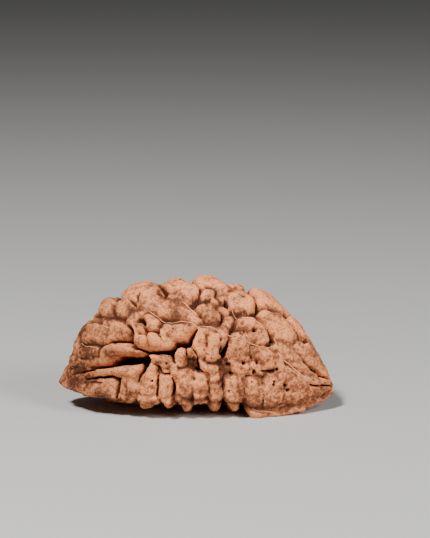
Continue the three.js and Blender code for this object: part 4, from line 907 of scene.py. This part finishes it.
def stain_and_shade_share(points):
    """How strongly each point is stained brown or given painted shade, from 0 to 1: full inside a stain or
    patch of painted shade, fading out of it.
    """
    in_view = flattened(points + wandering(points, *WANDER) + wandering(points, *RIPPLE))
    share = np.zeros(len(points))
    for across, up, half_width in STAINS_AND_SHADE:
        close, t = nearness(in_view, make_course([[across, up]], True), [half_width])
        share[close] = np.maximum(share[close], 1 - smooth_step(t, *STAIN_AND_SHADE_SIDE))
    return share


def skin_points(along, round_):
    """Points of the skin on rays, and how far they lie under the half-moon there. None lies under the
    surface that the stone rests on."""
    start, way = rays(along, round_)
    outline, reach = outline_points(start, way)
    height = skin_height(outline)
    for amount, size, shift in BAND_NOISES:
        height += amount * band_share(round_, outline[:, 0]) * smooth_noise(outline, size, shift)
    down = np.maximum(-way[:, 2], LEAST_FALL)
    below = start[:, 2] + way[:, 2] * (reach + height) < 0
    distance = np.where(below, start[:, 2] / down, reach + height)
    return start + way * distance[:, None], -height


def ring_angles():
    """The rings' angles along the stone, evenly spaced in length on the shoulder of the half-moon."""
    samples = np.linspace(0, math.pi, SHOULDER_SAMPLES)
    points, _reach = outline_points(*rays(samples, np.full_like(samples, SHOULDER)))
    lengths = np.concatenate([[0], np.cumsum(np.linalg.norm(np.diff(points, axis=0), axis=1))])
    return np.interp(np.linspace(0, lengths[-1], RINGS + 1), lengths, samples)


def soften(values, passes):
    """A grid of values, each blended with its neighbours again and again. It wraps round the stone."""
    for _ in range(passes):
        values = (2 * values + np.roll(values, 1, axis=1) + np.roll(values, -1, axis=1)) / 4
        padded = np.concatenate([values[:1], values, values[-1:]])
        values = (2 * values + padded[:-2] + padded[2:]) / 4
    return values


def faces_between(first, rings, sides):
    """Quads between neighbouring rings of points, whose numbers run on from the first."""
    here = np.arange(sides)
    after = (here + 1) % sides
    ring = first + np.arange(rings - 1)[:, None] * sides
    quads = np.stack([ring + here, ring + after, ring + sides + after, ring + sides + here], -1)
    return quads.reshape(-1, 4)


def stone_surface():
    """The closed skin: vertices in millimetres, quads, the triangles round both tips, and the grids of
    how deep each point lies and how much deeper than its surroundings."""
    along = ring_angles()[1:-1]
    round_ = np.arange(RING_POINTS) * 2 * math.pi / RING_POINTS
    grid_along, grid_round = np.meshgrid(along, round_, indexing="ij")
    all_along = np.concatenate([[0.0], grid_along.ravel(), [math.pi]])
    all_round = np.concatenate([[0.0], grid_round.ravel(), [0.0]])
    points, under = skin_points(all_along, all_round)
    here = np.arange(RING_POINTS)
    after = (here + 1) % RING_POINTS
    last = 1 + (len(along) - 1) * RING_POINTS
    beak = np.stack([np.zeros_like(here), 1 + after, 1 + here], -1)
    blunt = np.stack([np.full_like(here, len(points) - 1), last + here, last + after], -1)
    grid = under[1:-1].reshape(len(along), RING_POINTS)
    marks = {
        "under": under,
        "crevice": np.concatenate([[0.0], (grid - soften(grid, CREVICE_PASSES)).ravel(), [0.0]]),
        "hollow": np.concatenate([[0.0], (grid - soften(grid, HOLLOW_PASSES)).ravel(), [0.0]]),
        "stain_and_shade": stain_and_shade_share(points),
        "band": band_share(all_round, points[:, 0]),
    }
    return points, faces_between(1, len(along), RING_POINTS), np.concatenate([beak, blunt]), marks


def angles_of(points):
    """The angles along and round of the rays that pass through points outside the axis, by halving."""
    x, y, z = points.T

    def is_ahead(along):
        start, _way = rays(along, 0 * along)
        return start[:, 0] + np.hypot(y, z - start[:, 2]) / np.tan(along) > x

    low, _high = halved(is_ahead, x.shape, TINY, math.pi - TINY, THREAD_HALVINGS)
    start, _way = rays(low, 0 * low)
    return low, np.arctan2(z - start[:, 2], -y)


def thread_course(places):
    """Points of the half-moon along a thread's course, evenly spaced and wavering a little."""
    across, up = np.array(places, float).T
    lengths = np.concatenate([[0], np.cumsum(np.hypot(np.diff(across), np.diff(up)))])
    steps = np.linspace(0, lengths[-1], max(int(lengths[-1] / THREAD_STEP), THREAD_LEAST_STEPS))
    points = place_seen(np.interp(steps, lengths, across), np.interp(steps, lengths, up))
    return points + wandering(points, *THREAD_WAVER)


def thread_tube(points, outwards, half_width):
    """A thin tube along points of the skin: its points and faces. It swells and thins by noise, tapers at
    both ends, and is half sunk in the skin."""
    ahead = np.gradient(points, axis=0)
    ahead /= np.linalg.norm(ahead, axis=1, keepdims=True)
    side = np.cross(ahead, outwards)
    side /= np.linalg.norm(side, axis=1, keepdims=True)
    outwards = np.cross(side, ahead)
    from_end = np.minimum(np.arange(len(points)), np.arange(len(points))[::-1]) * THREAD_STEP
    swell = THREAD_SWELL[0] + THREAD_SWELL[1] * smooth_noise(points, *THREAD_SWELL_NOISE)
    radius = half_width * np.sqrt(np.clip(from_end / (THREAD_TAPER * half_width), THREAD_END, 1)) * swell
    turns = np.arange(THREAD_SIDES) * 2 * math.pi / THREAD_SIDES
    ring = np.cos(turns)[:, None] * side[:, None] + THREAD_HEIGHT * np.sin(turns)[:, None] * outwards[:, None]
    tube = points[:, None] + radius[:, None, None] * ring
    here = np.arange(THREAD_SIDES)
    faces = faces_between(0, len(points), THREAD_SIDES).tolist()
    faces.append(here[::-1].tolist())
    faces.append((here + (len(points) - 1) * THREAD_SIDES).tolist())
    return tube.reshape(-1, 3).tolist(), faces


def thread_tubes():
    """All vein threads as one mesh, laid on the skin and smoothed so that they bridge its narrow creases."""
    courses = [thread_course(places) for _half_width, places in THREADS]
    along, round_ = angles_of(np.concatenate(courses))
    skin, _under = skin_points(along, round_)
    _start, ways = rays(along, round_)
    points, faces, begin = [], [], 0
    for (half_width, _places), course in zip(THREADS, courses):
        line = skin[begin : begin + len(course)]
        for _ in range(THREAD_SMOOTHING):
            line[1:-1] = (line[:-2] + 2 * line[1:-1] + line[2:]) / 4
        tube, tube_faces = thread_tube(line, ways[begin : begin + len(course)], half_width)
        faces += [[corner + len(points) for corner in face] for face in tube_faces]
        points += tube
        begin += len(course)
    return np.array(points), faces


def mesh_piece(name, points, faces, marks):
    """An object at the origin whose mesh holds these points, in metres, with one attribute for each mark."""
    mesh = bpy.data.meshes.new(name)
    mesh.from_pydata((points * MM).tolist(), [], faces)
    mesh.shade_smooth()
    for mark, values in marks.items():
        attribute = mesh.attributes.new(mark, "FLOAT", "POINT")
        attribute.data.foreach_set("value", values.astype(np.float32))
    piece = bpy.data.objects.new(name, mesh)
    bpy.context.scene.collection.objects.link(piece)
    return piece


class NodeBuilder:
    """Adds nodes to a material's tree in a few words."""

    def __init__(self, material):
        material.use_nodes = True
        self.tree = material.node_tree
        self.shader = self.tree.nodes["Principled BSDF"]

    def node(self, kind, settings=None, **inputs):
        made = self.tree.nodes.new("ShaderNode" + kind)
        for key, value in (settings or {}).items():
            setattr(made, key, value)
        for key, value in inputs.items():
            self.feed(made.inputs[key.replace("_", " ")], value)
        return made

    def feed(self, socket, value):
        if isinstance(value, bpy.types.NodeSocket):
            self.tree.links.new(value, socket)
        else:
            socket.default_value = value

    def attribute(self, name):
        return self.node("Attribute", {"attribute_name": name}).outputs["Fac"]

    def noise(self, coordinates, size, detail, roughness):
        """Noise whose features are about size metres wide."""
        made = self.node("TexNoise", Vector=coordinates, Scale=1 / size, Detail=detail, Roughness=roughness)
        return made.outputs["Fac"]

    def along(self, coordinates):
        return self.node("SeparateXYZ", Vector=coordinates).outputs["X"]

    def ranged(self, value, low, high, to_low=0.0, to_high=1.0):
        made = self.node("MapRange", Value=value)
        for key, number in (("From Min", low), ("From Max", high), ("To Min", to_low), ("To Max", to_high)):
            made.inputs[key].default_value = number
        return made.outputs["Result"]

    def math(self, operation, first, second):
        made = self.node("Math", {"operation": operation})
        self.feed(made.inputs[0], first)
        self.feed(made.inputs[1], second)
        return made.outputs["Value"]

    def summed(self, values, terms):
        """The sum of (name of a value, from, to, share there and there) terms."""
        total = None
        for name, *limits in terms:
            share = self.ranged(values[name], *limits)
            total = share if total is None else self.math("ADD", total, share)
        return total

    def mixed(self, share, first, second):
        """A mix of two colours. A Mix node's colour sockets go by number, because their names repeat."""
        made = self.node("Mix", {"data_type": "RGBA"})
        self.feed(made.inputs["Factor"], share)
        self.feed(made.inputs[6], first)
        self.feed(made.inputs[7], second)
        return made.outputs[2]


def colour(name, description, default):
    """A colour that the panel shows."""
    return bpy.props.FloatVectorProperty(
        name=name, description=description, default=default, subtype="COLOR", size=3, min=0, max=1)


class StoneColours(bpy.types.PropertyGroup):
    """Colours of the stone's skin."""

    # Crest and flank are the wood's own pale and brown. The crest is laid on the tops of lobes and the flank
    # on their sides partly by noise and partly as painted highlight on ridges and swellings.
    crest: colour("Crest", "Palest wood, on the tops of the lobes", (0.92, 0.33, 0.125))
    flank: colour("Flank", "Ordinary wood, on the sides of the lobes", (0.26, 0.074, 0.028))
    # This dark brown is partly real stain and specks, and partly painted shade laid in hollows, in creases
    # and on the stains that stand in for shade.
    stain_and_shade: colour("Stain", "Brown stains and hollows", (0.065, 0.017, 0.006))
    # Painted shade: near black laid where the skin lies deep under the half-moon, in fissures and pores, in
    # place of their shadow.
    fissure: colour("Fissure", "Deep inside the fissures and pores", (0.010, 0.008, 0.007))
    thread: colour("Thread", "Dried vein threads on the skin", (0.86, 0.42, 0.20))


class StudioSettings(bpy.types.PropertyGroup):
    """Light and floor."""

    key_power: bpy.props.FloatProperty(
        name="Key light", description="Power of the lamp over the front", default=1.0, unit="POWER")
    side_power: bpy.props.FloatProperty(
        name="Side light", description="Power of the lamp on the beak's side", default=0.36, unit="POWER")
    sky_strength: bpy.props.FloatProperty(
        name="Room light", description="Strength of the even light from all round", default=0.06, min=0)
    floor_colour: colour("Floor", "Colour of the floor", (0.50, 0.49, 0.48))
    floor_size: bpy.props.FloatProperty(
        name="Floor size", description="Side of the square floor", default=3.0, unit="LENGTH")


def stone_material(colours):
    """Dry woody stone: pale crests with painted highlight on ridges and swellings, brown flanks, brown
    stains, and painted shade in hollows, in creases and near black deep in the fissures, mottled by noise at
    four sizes.
    """
    material = bpy.data.materials.new("Rudraksha wood")
    build = NodeBuilder(material)
    place = build.node("TexCoord").outputs["Object"]
    values = {name: build.attribute(name) for name in ("under", "crevice", "hollow", "stain_and_shade", "band")}
    values["patches"] = build.noise(place, *PATCHES)
    values["blotches"] = build.noise(place, *BLOTCHES)
    values["mottle"] = build.noise(place, *MOTTLE)
    values["specks"] = build.noise(place, *SPECKS)
    values["along"] = build.along(place)
    rgba = {name: (*getattr(colours, name), 1.0) for name in ("crest", "flank", "stain_and_shade", "fissure")}

    # Pale: noise, with painted highlight on ridges and swellings and painted shade in broad hollows.
    pale = build.summed(values, PALE_TERMS)
    wood = build.mixed(build.ranged(pale, 0.0, 1.0), rgba["flank"], rgba["crest"])
    # Painted shade in hollows and creases, with stains (some also painted shade), the rough band, and darker
    # towards the blunt end.
    shade_and_brown = build.summed(values, SHADE_AND_BROWN_TERMS)
    shade_and_brown = build.math("MULTIPLY", shade_and_brown, build.ranged(values["mottle"], *SHADE_AND_BROWN_MOTTLE))
    wood = build.mixed(build.ranged(shade_and_brown, *SHADE_AND_BROWN_SHOWN), wood, rgba["stain_and_shade"])
    wood = build.mixed(build.ranged(values["specks"], *SPECKS_SHOWN), wood, rgba["stain_and_shade"])
    # Painted shade: near black deep in the fissures and pores, in place of their shadow.
    wood = build.mixed(build.ranged(values["under"], *FISSURE_SHADE_DEPTH), wood, rgba["fissure"])
    build.feed(build.shader.inputs["Base Color"], wood)
    build.feed(build.shader.inputs["Roughness"], WOOD_ROUGHNESS)
    build.feed(build.shader.inputs["Specular IOR Level"], WOOD_GLOSS)

    mottle = build.math("MULTIPLY", values["mottle"], BUMP_MOTTLE)
    specks = build.math("MULTIPLY", values["specks"], BUMP_SPECKS)
    rough = build.math("ADD", mottle, specks)
    bump = build.node("Bump", Strength=BUMP_STRENGTH, Distance=BUMP_HEIGHT, Height=rough)
    build.feed(build.shader.inputs["Normal"], bump.outputs["Normal"])
    return material


class RUDRAKSHA_OT_stone(bpy.types.Operator):
    """Builds the stone's skin and its wood"""

    bl_idname = "rudraksha.stone"
    bl_label = "Stone"

    def execute(self, context):
        points, quads, tips, marks = stone_surface()
        stone = mesh_piece("stone_skin", points, quads.tolist() + tips.tolist(), marks)
        stone.data.materials.append(stone_material(context.scene.rudraksha_colours))
        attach(stone, BODY)
        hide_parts(STONE_NODE)
        return {"FINISHED"}


def thread_material(colours):
    """Dried threads of the fruit's veins: pale, darker in patches."""
    material = bpy.data.materials.new("Dried veins")
    build = NodeBuilder(material)
    place = build.node("TexCoord").outputs["Object"]
    patches = build.ranged(build.noise(place, *THREAD_PATCHES), *THREAD_PATCHES_SHOWN)
    pale = (*colours.thread, 1.0)
    dark = (*colours.crest, 1.0)
    build.feed(build.shader.inputs["Base Color"], build.mixed(patches, pale, dark))
    build.feed(build.shader.inputs["Roughness"], THREAD_ROUGHNESS)
    return material


class RUDRAKSHA_OT_threads(bpy.types.Operator):
    """Lays the vein threads on the skin"""

    bl_idname = "rudraksha.threads"
    bl_label = "Vein threads"

    def execute(self, context):
        points, faces = thread_tubes()
        threads = mesh_piece("vein_threads", points, faces, {})
        threads.data.materials.append(thread_material(context.scene.rudraksha_colours))
        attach(threads, BODY)
        return {"FINISHED"}


def area_light(name, place, size, power):
    """A square lamp that faces the middle of the stone."""
    lamp = bpy.data.lights.new(name, "AREA")
    lamp.energy = power
    lamp.size = size
    holder = bpy.data.objects.new(name, lamp)
    holder.location = place
    holder.rotation_mode = "QUATERNION"
    holder.rotation_quaternion = (Vector(LAMP_TARGET) - Vector(place)).to_track_quat("-Z", "Y")
    bpy.context.scene.collection.objects.link(holder)


def photo_camera():
    """The photograph's camera: it stands in front, a little above, and is turned so that the origin falls
    on its pixel of the photograph."""
    focal = PIXELS_PER_MM * VIEW_DISTANCE
    below = math.atan((ORIGIN_PIXEL[1] - PHOTO_HEIGHT / 2) / focal)
    aside = math.atan((ORIGIN_PIXEL[0] - PHOTO_WIDTH / 2) / focal)
    pitch = VIEW_ELEVATION - below
    ahead = Vector((math.sin(-aside) * math.cos(pitch), math.cos(-aside) * math.cos(pitch), -math.sin(pitch)))
    lens = bpy.data.cameras.new("Photo camera")
    lens.sensor_width = SENSOR_WIDTH
    lens.lens = SENSOR_WIDTH * focal / PHOTO_HEIGHT
    lens.clip_start, lens.clip_end = CLIP
    camera = bpy.data.objects.new("Photo camera", lens)
    camera.location = Vector(-SIGHT * VIEW_DISTANCE * MM)
    camera.rotation_mode = "QUATERNION"
    camera.rotation_quaternion = ahead.to_track_quat("-Z", "Y")
    bpy.context.scene.collection.objects.link(camera)
    bpy.context.scene.camera = camera


class RUDRAKSHA_OT_studio(bpy.types.Operator):
    """Lays a pale floor and sets the lamps, the room light and the camera"""

    bl_idname = "rudraksha.studio"
    bl_label = "Studio"

    def execute(self, context):
        studio = context.scene.rudraksha_studio
        half = studio.floor_size / 2
        corners = [(-half, -half, 0), (half, -half, 0), (half, half, 0), (-half, half, 0)]
        sheet = bpy.data.meshes.new("Floor")
        sheet.from_pydata(corners, [], [(0, 1, 2, 3)])
        floor = bpy.data.objects.new("Floor", sheet)
        context.scene.collection.objects.link(floor)
        paint = bpy.data.materials.new("Pale floor")
        shader = NodeBuilder(paint).shader
        shader.inputs["Base Color"].default_value = (*studio.floor_colour, 1.0)
        shader.inputs["Roughness"].default_value = FLOOR_ROUGHNESS
        sheet.materials.append(paint)
        world = bpy.data.worlds.new("Room")
        world.use_nodes = True
        world.node_tree.nodes["Background"].inputs["Color"].default_value = (1.0, 1.0, 1.0, 1.0)
        world.node_tree.nodes["Background"].inputs["Strength"].default_value = studio.sky_strength
        context.scene.world = world
        area_light("Key", *KEY_LAMP, studio.key_power)
        area_light("Side", *SIDE_LAMP, studio.side_power)
        photo_camera()
        return {"FINISHED"}


class RUDRAKSHA_PT_panel(bpy.types.Panel):
    """Lists the pieces and their settings"""

    bl_idname = "RUDRAKSHA_PT_panel"
    bl_label = "One mukhi rudraksha"
    bl_space_type = "VIEW_3D"
    bl_region_type = "UI"
    bl_category = "Rudraksha"

    def draw(self, context):
        for group in (context.scene.rudraksha_colours, context.scene.rudraksha_studio):
            box = self.layout.box()
            for name in group.__annotations__:
                box.prop(group, name)
        for operator in OPERATORS:
            self.layout.operator(operator.bl_idname)


OPERATORS = (RUDRAKSHA_OT_stone, RUDRAKSHA_OT_threads, RUDRAKSHA_OT_studio)
CLASSES = (StoneColours, StudioSettings, *OPERATORS, RUDRAKSHA_PT_panel)


def register():
    for made in CLASSES:
        bpy.utils.register_class(made)
    bpy.types.Scene.rudraksha_colours = bpy.props.PointerProperty(type=StoneColours)
    bpy.types.Scene.rudraksha_studio = bpy.props.PointerProperty(type=StudioSettings)


def unregister():
    del bpy.types.Scene.rudraksha_studio
    del bpy.types.Scene.rudraksha_colours
    for made in reversed(CLASSES):
        bpy.utils.unregister_class(made)


def main():
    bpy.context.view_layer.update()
    register()
    bpy.ops.rudraksha.studio()
    bpy.ops.rudraksha.stone()
    bpy.ops.rudraksha.threads()


if __name__ == "__main__":
    main()
